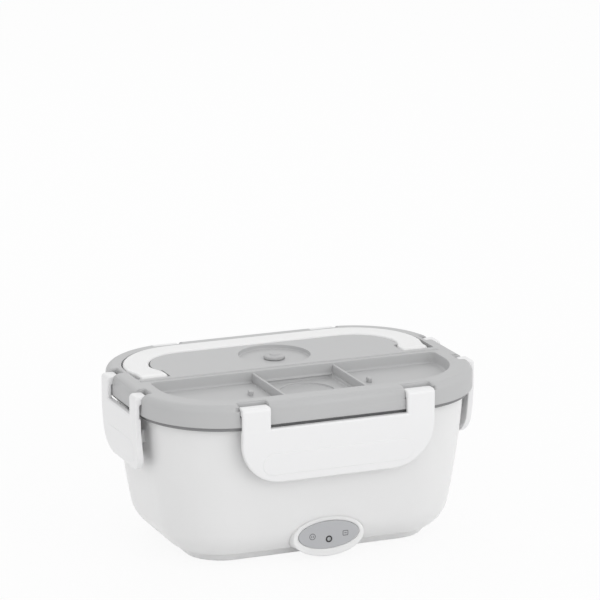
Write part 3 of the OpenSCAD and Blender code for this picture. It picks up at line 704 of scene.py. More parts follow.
WHITE = Plastic("white_casing", (0.84, 0.84, 0.84), 0.30, bump=0.002, wear=0.1, dust=0.02,
                clouds=0.003, mottle=0.003, coat=0.25, milk=0.5)
LATCH_WHITE = Plastic("white_latch", (0.84, 0.84, 0.845), 0.28, bump=0.0015, wear=0.1, dust=0.02,
                      clouds=0.002, mottle=0.002, coat=0.2)
LID_GREY = Plastic("grey_lid", (0.50, 0.502, 0.505), 0.45, bump=0.005, wear=0.2, clouds=0.006, mottle=0.012)
LINER_GREY = Plastic("dark_grey_liner", (0.34, 0.342, 0.345), 0.45, wear=0.1)
SEAL_GREY = Plastic("grey_silicone", (0.24, 0.24, 0.245), 0.55, wear=0.0)
VENT_GREY = Plastic("vent_silicone", (0.47, 0.472, 0.475), 0.5, wear=0.1)
STEEL = Metal("satin_steel", (0.64, 0.635, 0.63), 0.3, bump=0.0006, wear=0.1, dust=0.02, depth=0.035)
PLATE = Metal("heating_aluminium", (0.62, 0.62, 0.63), 0.35, bump=0.002, stretch=(900.0, 20.0, 20.0))
PLATED = Metal("plated_steel", (0.6, 0.6, 0.61), 0.2, bump=0.001, dust=0.0)
CLEAR = Plastic("translucent_container", (0.95, 0.955, 0.96), 0.3, bump=0.002, wear=0.05, dust=0.0,
                clouds=0.003, mottle=0.003, glow=0.06, milk=0.15)
CLEAR_LID = Plastic("translucent_container_lid", (0.95, 0.955, 0.96), 0.34, bump=0.003, wear=0.05, dust=0.0,
                    clouds=0.003, mottle=0.003, glow=0.05, milk=0.15)
DECK = Plastic("heater_deck_white", (0.78, 0.78, 0.77), 0.5, bump=0.008)
PANEL = Plastic("indicator_grey", (0.46, 0.465, 0.48), 0.42, bump=0.003)
MARK = Plastic("printed_mark", (0.10, 0.10, 0.105), 0.5, bump=0.001)
BLACK = Plastic("black_plastic", (0.012, 0.012, 0.013), 0.35, bump=0.003)
SOCKET = Plastic("socket_black", (0.02, 0.02, 0.021), 0.5, bump=0.006)
FEET = Plastic("foot_rubber", (0.025, 0.025, 0.026), 0.75, bump=0.02, grain=1800.0)
LENS = Plastic("frosted_lens", (0.55, 0.57, 0.58), 0.25, bump=0.001, dust=0.0, glow=0.35)
CERAMIC = Plastic("heater_ceramic", (0.6, 0.52, 0.4), 0.7, bump=0.02, clouds=0.05)
FELT = Plastic("insulation_felt", (0.62, 0.6, 0.52), 0.95, bump=0.2, grain=700.0, clouds=0.08)
SLEEVE = Plastic("lead_sleeve", (0.42, 0.03, 0.025), 0.5, bump=0.003)
BOARD = Plastic("board_green", (0.02, 0.16, 0.06), 0.4, bump=0.01, clouds=0.06)


class Assembly:
    """A sub-assembly that can build its pieces and dress its CAD nodes."""

    def build(self) -> None:
        """Makes the sub-assembly's own pieces."""

    def dress(self) -> dict[str, Finish]:
        """Gives the finish of each CAD node that stays in view."""
        return {}

    def add(self) -> None:
        """Builds the pieces and dresses the nodes."""
        self.build()
        for node, finish in self.dress().items():
            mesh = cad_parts[node].data
            mesh.materials.clear()
            mesh.materials.append(finish.material())
            LOG.info("%s: dressed in %s", node, finish.name)


@dataclass(frozen=True)
class Wall:
    """The leaning wall that the base, the tray and the container share.

    Attributes:
        r: Radius of the long arc of the wall.
        x: Distance of its centre from the spine.
        z: Height of its centre.
        low_r: Radius of the curve at the bottom.
        low_x: Distance of that curve's centre from the spine.
        low_z: Height of that curve's centre.
        lean: Lean of the wall where the two meet, in degrees.
    """

    r: float = 572.554
    x: float = -520.486
    z: float = 131.954
    low_r: float = 24.0
    low_x: float = 17.989
    low_z: float = 27.285
    lean: float = 11.0

    def at(self, z: float, inset: float = 0.0) -> float:
        """Gives the surface's distance from the spine.

        Args:
            z: Height.
            inset: Distance inside the outer face.

        Returns:
            The distance.
        """
        if z > self.low_z - (self.low_r - inset) * math.sin(math.radians(self.lean)):
            return self.x + math.sqrt((self.r - inset) ** 2 - (self.z - z) ** 2)
        return self.low_x + math.sqrt((self.low_r - inset) ** 2 - (self.low_z - z) ** 2)

    def skin(self, inset: float, high: float, low: float, steps: int) -> list[Flat]:
        """Gives the wall's outline from high down to low.

        Args:
            inset: Distance inside the outer face.
            high: Height of its upper end.
            low: Height of its lower end.
            steps: Steps in each of its two arcs.

        Returns:
            The points.
        """
        upper, lower = self.r - inset, self.low_r - inset
        first = -math.degrees(math.asin((self.z - high) / upper))
        last = -math.degrees(math.asin((self.low_z - low) / lower))
        return (arc(self.x, self.z, upper, first, -self.lean, steps)
                + arc(self.low_x, self.low_z, lower, -self.lean, last, steps)[1:])

    def bowl(self, inset: float, high: float, floor: float, r: float, steps: int) -> list[Flat]:
        """Gives the outline of a bowl that follows the wall down to a flat floor.

        Args:
            inset: Distance inside the base's outer face.
            high: Height of its upper end.
            floor: Height of its floor.
            r: Radius of its bottom edge.
            steps: Steps in each of its two arcs.

        Returns:
            The points.
        """
        upper = self.r - inset
        lean = math.asin((self.z - floor - r) / (upper - r))
        first = -math.degrees(math.asin((self.z - high) / upper))
        x = self.x + (upper - r) * math.cos(lean)
        return (arc(self.x, self.z, upper, first, -math.degrees(lean), steps)
                + arc(x, floor + r, r, -math.degrees(lean), -90, steps)[1:])


WALL = Wall()


@dataclass
class Base(Assembly):
    """The white base: casing, bosses, ledges, indicator panel and what shows inside.

    Attributes:
        rim_join: How far below the round rim the casing's wall starts.
        foot_edge: Width and height of the bevel at the casing's lower edge.
        sunk: How far the bosses start inside the wall.
        flare: Rings from the wall to a boss's face, as (growth, share of the way out).
        brow: Rings round the edge of a boss's face, as (growth, distance behind the face).
        dome: Profile of the lamp's lens, as (growth, distance behind the panel's face).
        mark_ink: How far the marks stand out of the panel and reach into it.
        inlet_cut: Where the hole through the casing starts and ends along Y.
    """

    rim_z: float = 97.0
    seam_z: float = 6.5
    thick: float = 2.4
    cover_x: float = 27.6
    rim_join: float = 0.3
    foot_edge: Flat = (0.4, 0.5)
    ledge_z: float = 76.7
    ledge_h: float = 8.7
    ledge_out: float = 3.4
    ledge_step: float = 1.2
    ledge_root: float = 2.0
    ledge_edge: float = 0.8
    ledges: dict[Side, float] = field(default_factory=lambda: {
        Side.FRONT: 92.0, Side.REAR: 92.0, Side.LEFT: 39.0, Side.RIGHT: 39.0})
    sunk: float = 0.8
    flare: tuple[Flat, ...] = ((1.6, 0.0), (0.8, 0.22), (0.25, 0.5), (0.0, 0.8))
    flare_reach: float = 0.97
    brow: tuple[Flat, ...] = ((-0.12, 0.35), (-0.4, 0.1), (-0.8, 0.0))
    brow_share: float = 0.3
    boss: Oval = oval(15.4, 49.0, 26.5)
    seat: Oval = oval(16.6, 42.2, 18.7)
    seat_lip: float = 0.25
    seat_gap: float = 0.02
    panel: Oval = oval(16.6, 41.7, 18.2)
    panel_y: float = -66.924
    panel_t: float = 1.2
    panel_edge: float = 0.3
    lamp_z: float = 13.6
    lamp_r: float = 2.3
    lamp_ring: float = 1.0
    lens_r: float = 1.32
    dome: tuple[Flat, ...] = ((0.0, 2.0), (0.0, 0.1), (-0.35, -0.12), (-0.8, -0.24))
    mark_x: float = 11.4
    mark_r: float = 2.1
    mark_half: Flat = (1.9, 1.7)
    mark_line: float = 0.38
    mark_ink: Flat = (0.08, 0.1)
    inlet_y: float = 66.617
    inlet_z: float = 15.2
    inlet_boss: Spot = (17.3, 10.5, 8.0)
    inlet_hole: Spot = (10.6, 6.3, 4.0)
    inlet_cut: Flat = (40.0, 72.0)
    inlet_lip: float = 0.4
    inlet_deep: float = 12.0

    def build(self) -> None:
        """Makes the casing, the bosses, the ledges and the panel."""
        casing = self._casing()
        hole = Shape()
        hole.block(self._inlet(self.inlet_hole), *self.inlet_cut, 0.01, facing_front, 1)
        cut(casing, hole.piece("inlet_hole", "base", WHITE))
        self._panel_boss()
        self._inlet_boss()
        self._ledges()
        self._panel()
        self._marks()

    def _surface(self, z: float) -> float:
        """Gives where the bosses start, as a distance from the middle plane, at a height."""
        return SPINE_Y + (WALL.at(z) if z > self.seam_z else self.cover_x) - self.sunk

    def _casing(self) -> bpy.types.Object:
        """Makes the shell with its full-round rim.

        Returns:
            The casing.
        """
        half = self.thick / 2
        top = self.rim_z - half
        wide, tall = self.foot_edge
        high, low = top - self.rim_join, self.seam_z + tall
        rim = arc(WALL.at(top) - half, top, half, 170, 10, 10)
        foot = [(WALL.at(self.seam_z) - wide, self.seam_z), (WALL.at(self.seam_z, self.thick), self.seam_z)]
        inner = WALL.skin(self.thick, high, low, 16)[::-1]
        shape = Shape()
        shape.hoop(rim + WALL.skin(0, high, low, 16) + foot + inner)
        return shape.piece("base_casing", "base", WHITE, ["base_shell"])

    def _boss(self, shape: Shape, outline: Outline, front: float) -> list[Ring]:
        """Adds the flared rings of a boss, from the wall to its front edge.

        Args:
            shape: The shape that they go into.
            outline: The boss's outline.
            front: Where its front face is, along Y.

        Returns:
            The rings.
        """
        side, far, wall = math.copysign(1, front), abs(front), self._surface
        rings = [shape.ring((u, side * (wall(v) + (far - wall(v)) * part * self.flare_reach), v)
                            for u, v in outline.points(grow)) for grow, part in self.flare]
        rings += [shape.ring((u, front - side * min(back, self.brow_share * abs(far - wall(v))), v)
                             for u, v in outline.points(grow)) for grow, back in self.brow]
        shape.chain(rings)
        return rings

    def _inlet(self, size: Spot) -> Outline:
        """Gives an outline centred on the inlet, from its half length, half height and radius."""
        return centred(0.0, self.inlet_z, *size)

    def _panel_boss(self) -> None:
        """Makes the oval boss with the seat of the panel."""
        shape = Shape()
        rings = self._boss(shape, self.boss, self.panel_y)
        deep = self.panel_y + self.panel_t + self.seat_gap
        seat = [shape.ring((u, y, v) for u, v in self.seat.points(g)) for g, y in (
            (self.seat_lip, self.panel_y), (0.0, self.panel_y + self.seat_lip), (0.0, deep))]
        shape.fill(rings[-1], [seat[0]])
        shape.chain(seat)
        shape.fill(seat[-1])
        shape.fill(rings[0])
        shape.piece("panel_boss", "base", WHITE)

    def _inlet_boss(self) -> None:
        """Makes the boss round the inlet's mouth."""
        shape = Shape()
        rings = self._boss(shape, self._inlet(self.inlet_boss), self.inlet_y)
        hole = [shape.ring((u, self.inlet_y - back, v) for u, v in self._inlet(self.inlet_hole).points(g))
                for g, back in ((self.inlet_lip, 0.0), (0.0, self.inlet_lip), (0.0, self.inlet_deep))]
        shape.chain([rings[-1], *hole, rings[0]])
        shape.piece("inlet_boss", "base", WHITE)

    def _ledges(self) -> None:
        """Makes the ledges that the latches hook under."""
        low, top = self.ledge_z, self.ledge_z + self.ledge_h
        root, edge, crest = (WALL.at(low) - self.ledge_root, WALL.at(low) + self.ledge_out,
                             WALL.at(top) + self.ledge_step)
        wedge = Outline(((root, low, 0), (edge, low, 0.9), (edge, low + 1.4, 1.4),
                         (crest, top, 1.0), (root, top, 0)), steps=5)
        for side, length in self.ledges.items():
            shape = Shape()
            shape.block(wedge, -length / 2, length / 2, self.ledge_edge,
                        lambda u, v, w, s=side: s.place(w, u, v))
            shape.piece(f"{side.name.lower()}_ledge", "base", WHITE)

    def _panel(self) -> None:
        """Makes the oval panel, and the lamp's lens in its ring."""
        front = self.panel_y
        shape = Shape()
        shape.block(self.panel, front, front + self.panel_t, self.panel_edge, facing_front)
        shape.piece("indicator_panel", "base", PANEL, ["panel_plate"])
        shape = Shape()
        half, back = self.lamp_ring / 2, front + 3
        tube = arc(-half, front + 0.1, half, 0, -180, 8)
        shape.hoop([(0.0, back), *tube, (-self.lamp_ring, back)], circle(0, self.lamp_z, self.lamp_r),
                   facing_front)
        shape.piece("lamp_ring", "base", BLACK, ["indicator_bezel"])
        shape = Shape()
        dome = [(grow, front + y) for grow, y in self.dome]
        shape.loft(circle(0, self.lamp_z, self.lens_r), dome, facing_front, True)
        shape.piece("lamp_lens", "base", LENS, ["indicator_led"])

    def _marks(self) -> None:
        """Makes the two plain marks: a ring with two strokes, and a square with one."""
        x, z, line = self.mark_x, self.seat.y - 0.3, self.mark_line
        front, back = self.panel_y - self.mark_ink[0], self.panel_y + self.mark_ink[1]
        section = [(0.0, front), (-line, front), (-line, back), (0.0, back)]
        shape = Shape()
        shape.hoop(section, circle(-x, z, self.mark_r, 32), facing_front)
        shape.hoop(section, centred(x, z, *self.mark_half, 0.5, 3), facing_front)
        for middle, half_x, half_z in ((-0.6 - x, line / 2, 0.7), (0.6 - x, line / 2, 0.7), (x, 0.9, line / 2)):
            shape.block(centred(middle, z, half_x, half_z, 0.15, 2), front, back, 0.02, facing_front, 1)
        shape.piece("panel_marks", "base", MARK)

    def dress(self) -> dict[str, Finish]:
        """Gives the finish of each CAD node in the base.

        Returns:
            Finishes by the node's name.
        """
        return {"bottom_cover": WHITE, "rubber_feet": FEET, "cover_screws": PLATED, "heater_deck": DECK,
                "heating_plate": PLATE, "ptc_heaters": CERAMIC, "heater_clamp": PLATE, "clamp_screws": PLATED,
                "insulation_pad": FELT, "thermostat": BLACK, "thermal_fuse": CERAMIC, "wire_leads": SLEEVE,
                "indicator_board": BOARD, "board_screws": PLATED, "inlet_socket": SOCKET, "inlet_pins": PLATED}


@dataclass
class Tray(Assembly):
    """The deep-drawn steel tray with its rolled rim.

    Attributes:
        press: Section of the line pressed into the floor, as (distance out, height).
        press_in: How far that line lies inside the floor's edge.
    """

    inset: float = 2.9
    sheet: float = 0.8
    floor_z: float = 27.7
    bottom_r: float = 20.0
    flange_z: float = 97.3
    bead_x: float = 50.65
    bead_r: float = 1.25
    press: tuple[Flat, ...] = ((-1.4, 0.0), (-0.9, -0.12), (-0.4, -0.3), (0.1, -0.12), (0.6, 0.0))
    press_in: float = 3.0

    def build(self) -> None:
        """Makes the tray."""
        flange, top, floor = self.flange_z, self.flange_z + self.sheet, self.floor_z + self.sheet
        inner = WALL.bowl(self.inset + self.sheet, flange - 1.2, floor, self.bottom_r - self.sheet, 18)[::-1]
        outer = WALL.bowl(self.inset, flange - 1.6, self.floor_z, self.bottom_r, 18)
        line = inner[0][0] - self.press_in
        pressed = [(line + x, floor + dz) for x, dz in self.press]
        turned = rounded([(*inner[-1], 0), (inner[-1][0] + 0.1, top, 1.4), (self.bead_x - 1.3, top + 0.1, 0)], 6)
        bead = arc(self.bead_x, flange + self.bead_r, self.bead_r, 190, -80, 18)
        under = rounded([(self.bead_x - 0.4, flange, 0), (outer[0][0] + 0.1, flange, 1.2), (*outer[0], 0)], 5)
        shape = Shape()
        shape.loft(SPINE, pressed + inner + turned[1:] + bead + under[:-1] + outer, upright, True)
        shape.piece("tray_pan", "tray", STEEL, ["steel_tray"])


@dataclass
class Container(Assembly):
    """The translucent side-dish cup, flat on its left, and its snap-on lid.

    Attributes:
        left: Place of the flat side along X.
        inset: How far the other sides lie inside the base's outer face.
        rib_x: How far each rib stands out of the flat side and reaches into it.
        lid_out: How far the lid's border stands out all round.
    """

    left: float = 20.0
    inset: float = 7.2
    thick: float = 1.2
    floor_z: float = 28.8
    top_z: float = 86.8
    bottom_r: float = 14.0
    left_r: float = 3.0
    corner_r: float = 7.0
    rib_x: Flat = (0.6, 0.8)
    rib_y: float = 50.0
    rib_half: float = 1.6
    rib_r: float = 0.6
    skirt_z: float = 78.8
    roof_z: float = 88.3
    lid_out: float = 1.5
    tab_half: float = 9.0

    def _outline(self, side: float, left: float, corner: float) -> Outline:
        """Gives an outline that is flat at X = left and a distance from the spine elsewhere."""
        y, x = SPINE_Y + side, SPINE_X + side
        return Outline(((left, -y, corner), (x, -y, side), (x, y, side), (left, y, corner)), steps=14)

    def _rings(self, shape: Shape, inset: float) -> list[Ring]:
        """Adds the rings of one face of the cup, from its top to its floor.

        Args:
            shape: The shape that they go into.
            inset: Distance inside the cup's outer face.

        Returns:
            The rings.
        """
        floor, foot = self.floor_z + inset, self.left_r - inset
        rings = []
        for side, z in WALL.bowl(self.inset + inset, self.top_z, floor, self.bottom_r - inset, 14):
            rise = min(max(floor + foot - z, 0.0), foot)
            left = self.left + inset + foot - math.sqrt(foot ** 2 - rise ** 2)
            points = self._outline(side, left, self.corner_r - inset).points()
            rings.append(shape.ring((u, v, z) for u, v in points))
        shape.chain(rings)
        return rings

    def build(self) -> None:
        """Makes the cup and its lid."""
        shape = Shape()
        outer, inner = self._rings(shape, 0.0), self._rings(shape, self.thick)
        shape.chain([outer[0], inner[0]])
        shape.fill(outer[-1])
        shape.fill(inner[-1])
        shape.piece("side_cup", "cup", CLEAR, ["container_cup"])
        self._rib("cup_rib_front", -self.rib_y)
        self._rib("cup_rib_rear", self.rib_y)
        self._lid()

    def _rib(self, name: str, y: float) -> None:
        """Makes the upright rib beside one corner of the flat side.

        Args:
            name: The rib's name.
            y: Its place along Y.
        """
        shape = Shape()
        half, (out, root) = self.rib_half, self.rib_x
        outline = box_outline(self.left - out, y - half, self.left + root, y + half, self.rib_r, 5)
        shape.block(outline, self.floor_z + 8, self.skirt_z - 2, 0.5)
        shape.piece(name, "cup", CLEAR)

    def _lid(self) -> None:
        """Makes the lid: a skirt, a raised border, a sunk top and a tab on the left."""
        skirt, roof, out = self.skirt_z, self.roof_z, self.lid_out
        outline = self._outline(WALL.at(self.top_z, self.inset) + out, self.left - out, self.corner_r + out)
        profile = rounded([(-1.2, self.top_z + 0.3, 0), (-1.2, skirt, 0.3), (0.0, skirt, 0.3),
                           (0.0, skirt + 2.0, 0.3), (-0.35, skirt + 2.6, 0.3), (-0.2, roof + 0.7, 1.3),
                           (-4.6, roof + 0.7, 0.7), (-5.4, roof - 0.15, 0.6), (-7.0, roof - 0.2, 0)], 4)
        shape = Shape()
        shape.loft(outline, profile, upright, True)
        tab = box_outline(self.left - 6.0, -self.tab_half, self.left + 1, self.tab_half, 2.5)
        shape.block(tab, roof - 1.6, roof + 0.2, 0.4)
        shape.piece("side_cup_lid", "cup_lid", CLEAR_LID, ["container_lid"])


@dataclass
class Lid(Assembly):
    """The grey lid with its cutlery recess, handle groove, vent dish and ear pockets."""

    x: float = 57.0
    low_z: float = 98.0
    top_z: float = 112.5
    shoulder: float = 5.0
    skirt_x: float = 54.8
    roof_z: float = 103.6
    tub_x: float = 44.2
    tub_z: float = 100.3
    recess_x: float = 42.0
    recess_y: float = -8.0
    recess_z: float = 105.0
    box_half: float = 26.4
    box_y: Flat = (-63.0, -9.6)
    box_z: float = 103.0
    pit_z: float = 101.6
    pit_r: float = 18.0
    pit_y: float = -31.0
    divider_x: float = 28.0
    divider_end: float = -66.6
    stud_x: float = 41.0
    groove_out: Spot = (103.8, 70.8, 46.8)
    groove_in: Spot = (85.2, 52.2, 28.2)
    groove_leg: float = 81.2
    groove_low: float = 1.2
    groove_step: float = 16.8
    groove_z: float = 107.3
    well_x: Flat = (81.8, 103.2)
    well_y: Flat = (2.1, 10.8)
    well_z: float = 105.3
    dish_y: float = 25.5
    dish_r: float = 24.0
    dish_z: float = 109.5
    vent_r: float = 3.3
    vent_z: float = 100.6
    stem_r: float = 3.0
    hinge_x: float = 53.8
    ear_gap: float = 0.4
    pockets_z: float = 104.9
    ridge_y: float = -4.0
    ridge_half: float = 104.0

    def _recess(self) -> Outline:
        """Gives the outline of the cutlery recess."""
        x, y, r = SPINE_X + self.recess_x, SPINE_Y + self.recess_x, self.recess_x
        return Outline(((-x, -y, r), (x, -y, r), (x, self.recess_y, 4.0), (-x, self.recess_y, 4.0)), steps=14)

    def _groove(self) -> Outline:
        """Gives the outline of the groove that the handle lies in.

        Returns:
            The outline.
        """
        (out_x, out_y, out_r), (in_x, in_y, in_r), r = self.groove_out, self.groove_in, 1.5
        leg, low, step = self.groove_leg, self.groove_low, self.groove_step
        return Outline(((-out_x, low, r), (-leg, low, r), (-leg, step, r), (-in_x, step, r),
                        (-in_x, in_y, in_r), (in_x, in_y, in_r), (in_x, step, r), (leg, step, r),
                        (leg, low, r), (out_x, low, r), (out_x, out_y, out_r), (-out_x, out_y, out_r)), steps=14)

    def build(self) -> None:
        """Makes the lid, its dividers, its ridge and the vent plug."""
        shape = Shape()
        skirt = arc(self.x - self.shoulder, self.top_z - self.shoulder, self.shoulder, 90, 0, 10)
        skirt += rounded([(self.x, 105.0, 0), (self.x, self.low_z, 0.7), (self.skirt_x, self.low_z, 0.5),
                          (self.skirt_x, self.roof_z, 0.3), (self.tub_x, self.roof_z, 0.3),
                          (self.tub_x, self.tub_z, 0)], 4)
        rings = shape.loft(SPINE, skirt)
        shape.fill(rings[-1])
        recess = shape.pocket(self._recess(), self.top_z, self.recess_z, 0.8, 1.6, 0.5)
        groove = shape.pocket(self._groove(), self.top_z, self.groove_z, 0.25, 0.3)
        dish = shape.pocket(circle(0, self.dish_y, self.dish_r - 0.3, 72), self.top_z, self.dish_z, 0.4, 1.2)
        shape.fill(rings[0], [recess[0], groove[0], dish[0]])
        box = shape.pocket(box_outline(-self.box_half, self.box_y[0], self.box_half, self.box_y[1], 2.0),
                           self.recess_z, self.box_z, 0.4, 0.8, 0.2)
        shape.fill(recess[1], [box[0]])
        pit = shape.pocket(circle(0, self.pit_y, self.pit_r - 0.5, 64), self.box_z, self.pit_z, 0.5, 0.7)
        shape.fill(box[1], [pit[0]])
        shape.fill(pit[1])
        (near, far), (front, back) = self.well_x, self.well_y
        wells = [shape.pocket(box_outline(x0, front, x1, back, 0.8, 4), self.groove_z, self.well_z, 0.1, 0.2)
                 for x0, x1 in ((-far, -near), (near, far))]
        shape.fill(groove[1], [well[0] for well in wells])
        for well in wells:
            shape.fill(well[1])
        vent = shape.pocket(circle(0, self.dish_y, self.vent_r), self.dish_z, self.vent_z, 0.3, 0.2)
        shape.fill(dish[1], [vent[0]])
        shape.fill(vent[1])
        cut(shape.piece("lid_top", "lid", LID_GREY, ["lid_shell"]), self._ear_cutter())
        self._ribs()
        self._plug()

    def _ear_cutter(self) -> bpy.types.Object:
        """Makes the tool that cuts the pockets for the latches' ears.

        Returns:
            The tool.
        """
        shape = Shape()
        flared = [(0.0, self.pockets_z), (0.0, 110.8), (0.15, 111.8), (0.9, 113.4)]
        for latch in LATCHES:
            half = latch.ear / 2 + self.ear_gap
            for middle in (-(latch.width - latch.ear) / 2, (latch.width - latch.ear) / 2):
                outline = box_outline(middle - half, self.hinge_x - 4.4, middle + half, self.x + 4, 1.0, 3)
                shape.loft(outline, flared, lambda u, v, w, s=latch.side: s.place(u, v, w), True)
        return shape.piece("ear_pockets", "lid", LID_GREY)

    @staticmethod
    def _ridge(middle: float, low: float, high: float, half: Flat, r: float, steps: int) -> Outline:
        """Gives the section of a tapered ridge, from its half widths at foot and crest."""
        (a, b), x = half, middle
        return Outline(((x - a, low, 0), (x + a, low, 0), (x + b, high, r), (x - b, high, r)), steps)

    def _ribs(self) -> None:
        """Makes the dividers and studs of the recess, and the ridge across the lid."""
        shape = Shape()
        for x in (-self.divider_x, self.divider_x):
            shape.block(self._ridge(x, 103.5, 111.0, (1.15, 0.85), 0.7, 4), self.divider_end,
                        self.recess_y + 0.6, 0.05, facing_front, 1)
        for x in (-self.stud_x, self.stud_x):
            shape.block(centred(x, -35.5, 1.4, 2.5, 1.2, 5), 104.5, 108.2, 0.9)
        shape.piece("cutlery_dividers", "lid", LID_GREY)
        shape = Shape()
        section = self._ridge(self.ridge_y, self.top_z - 1, self.top_z + 0.8, (1.9, 1.0), 0.8, 5)
        shape.block(section, -self.ridge_half, self.ridge_half, 0.7, along_x)
        shape.piece("lid_ridge", "lid", LID_GREY)

    def _plug(self) -> None:
        """Makes the vent plug: a stem, a cap and a button."""
        shape = Shape()
        profile = rounded([(-0.3, 101.0, 0), (0.0, 101.6, 0.2), (0.0, 109.8, 0.2), (3.9, 109.8, 0.3),
                           (4.0, 111.8, 1.0), (0.4, 112.0, 0.5), (-0.4, 112.9, 0.5), (-1.2, 112.8, 0)], 4)
        shape.loft(circle(0, self.dish_y, self.stem_r), profile, upright, True)
        shape.piece("vent_button", "vent", VENT_GREY, ["vent_plug"])

    def dress(self) -> dict[str, Finish]:
        """Gives the finish of the lid's CAD nodes."""
        return {"lid_liner": LINER_GREY, "lid_seal": SEAL_GREY, "latch_pins": PLATED, "handle_pins": PLATED}


@dataclass
class Handle(Assembly):
    """The white carry handle, a bail with widened ends.

    Attributes:
        taper: Where along a leg its width starts and ends to change.
        crown: How far the top's edges lie below its middle.
        leg: Places of the cross-sections along a leg.
    """

    bar_in: float = 29.0
    bar_out: float = 46.0
    end_in: float = 25.0
    end_out: float = 43.4
    low_z: float = 107.6
    top_z: float = 113.6
    pivot_y: float = 6.0
    pivot_r: float = 4.0
    taper: Flat = (9.3, 24.0)
    edge: float = 1.7
    crown: float = 0.5
    leg: tuple[float, ...] = (2.03, 2.3, 2.9, 3.8, 4.8, 6.0, 7.2, 8.4, 9.3, 10.2, 11.5, 12.7, 13.9, 15.1,
                              16.3, 17.5, 18.9, 20.6, 22.3, SPINE_Y)

    def _section(self, y: float) -> tuple[float, float, float, float]:
        """Gives the edges and the heights of the bar.

        Args:
            y: Place along the leg.

        Returns:
            The inner and the outer edge, as distances from the spine, and the lower and the upper height.
        """
        middle = self.top_z - self.pivot_r
        reach = math.sqrt(max(self.pivot_r ** 2 - (y - self.pivot_y) ** 2, 0.0))
        high = middle + reach if y < self.pivot_y else self.top_z
        low = middle - reach
        if y >= self.pivot_y:
            low = min(low, self.low_z) if y < self.pivot_y + self.pivot_r else self.low_z
        start, end = self.taper
        blend = min(max((y - start) / (end - start), 0.0), 1.0)
        blend = blend * blend * (3 - 2 * blend)
        inner = self.end_in + (self.bar_in - self.end_in) * blend
        return inner, self.end_out + (self.bar_out - self.end_out) * blend, low, high

    def build(self) -> None:
        """Makes the handle, swept from one end to the other."""
        path = [(-SPINE_X, y, -1.0, 0.0) for y in self.leg]
        for x, turns in ((-SPINE_X, range(175, 89, -5)), (SPINE_X, range(90, 0, -5))):
            path += [(x, SPINE_Y, math.cos(math.radians(a)), math.sin(math.radians(a))) for a in turns]
        path += [(SPINE_X, y, 1.0, 0.0) for y in reversed(self.leg)]
        shape = Shape()
        rings = [self._ring(shape, *place) for place in path]
        shape.chain(rings)
        for ring in (rings[0], rings[-1]):
            shape.bm.faces.new(ring)
        shape.piece("handle_bail", "handle", WHITE, ["carry_handle"])

    def _ring(self, shape: Shape, x: float, y: float, out_x: float, out_y: float) -> Ring:
        """Adds one cross-section of the bar.

        Args:
            shape: The shape that it goes into.
            x: Place on the spine, first coordinate.
            y: Place on the spine, second coordinate, which sets the section's size.
            out_x: Direction outwards from the spine, first coordinate.
            out_y: Direction outwards from the spine, second coordinate.

        Returns:
            The section's points.
        """
        inner, outer, low, high = self._section(y)
        r = min(self.edge, 0.45 * (high - low))
        middle, half = (inner + outer) / 2, (outer - inner) / 2
        points = []
        for o, z in box_outline(inner, low, outer, high, r, 5).points():
            drop = self.crown * ((o - middle) / half) ** 2 if z > (low + high) / 2 and high - low > 2 else 0.0
            points.append((x + o * out_x, y + o * out_y, z - drop))
        return shape.ring(points)


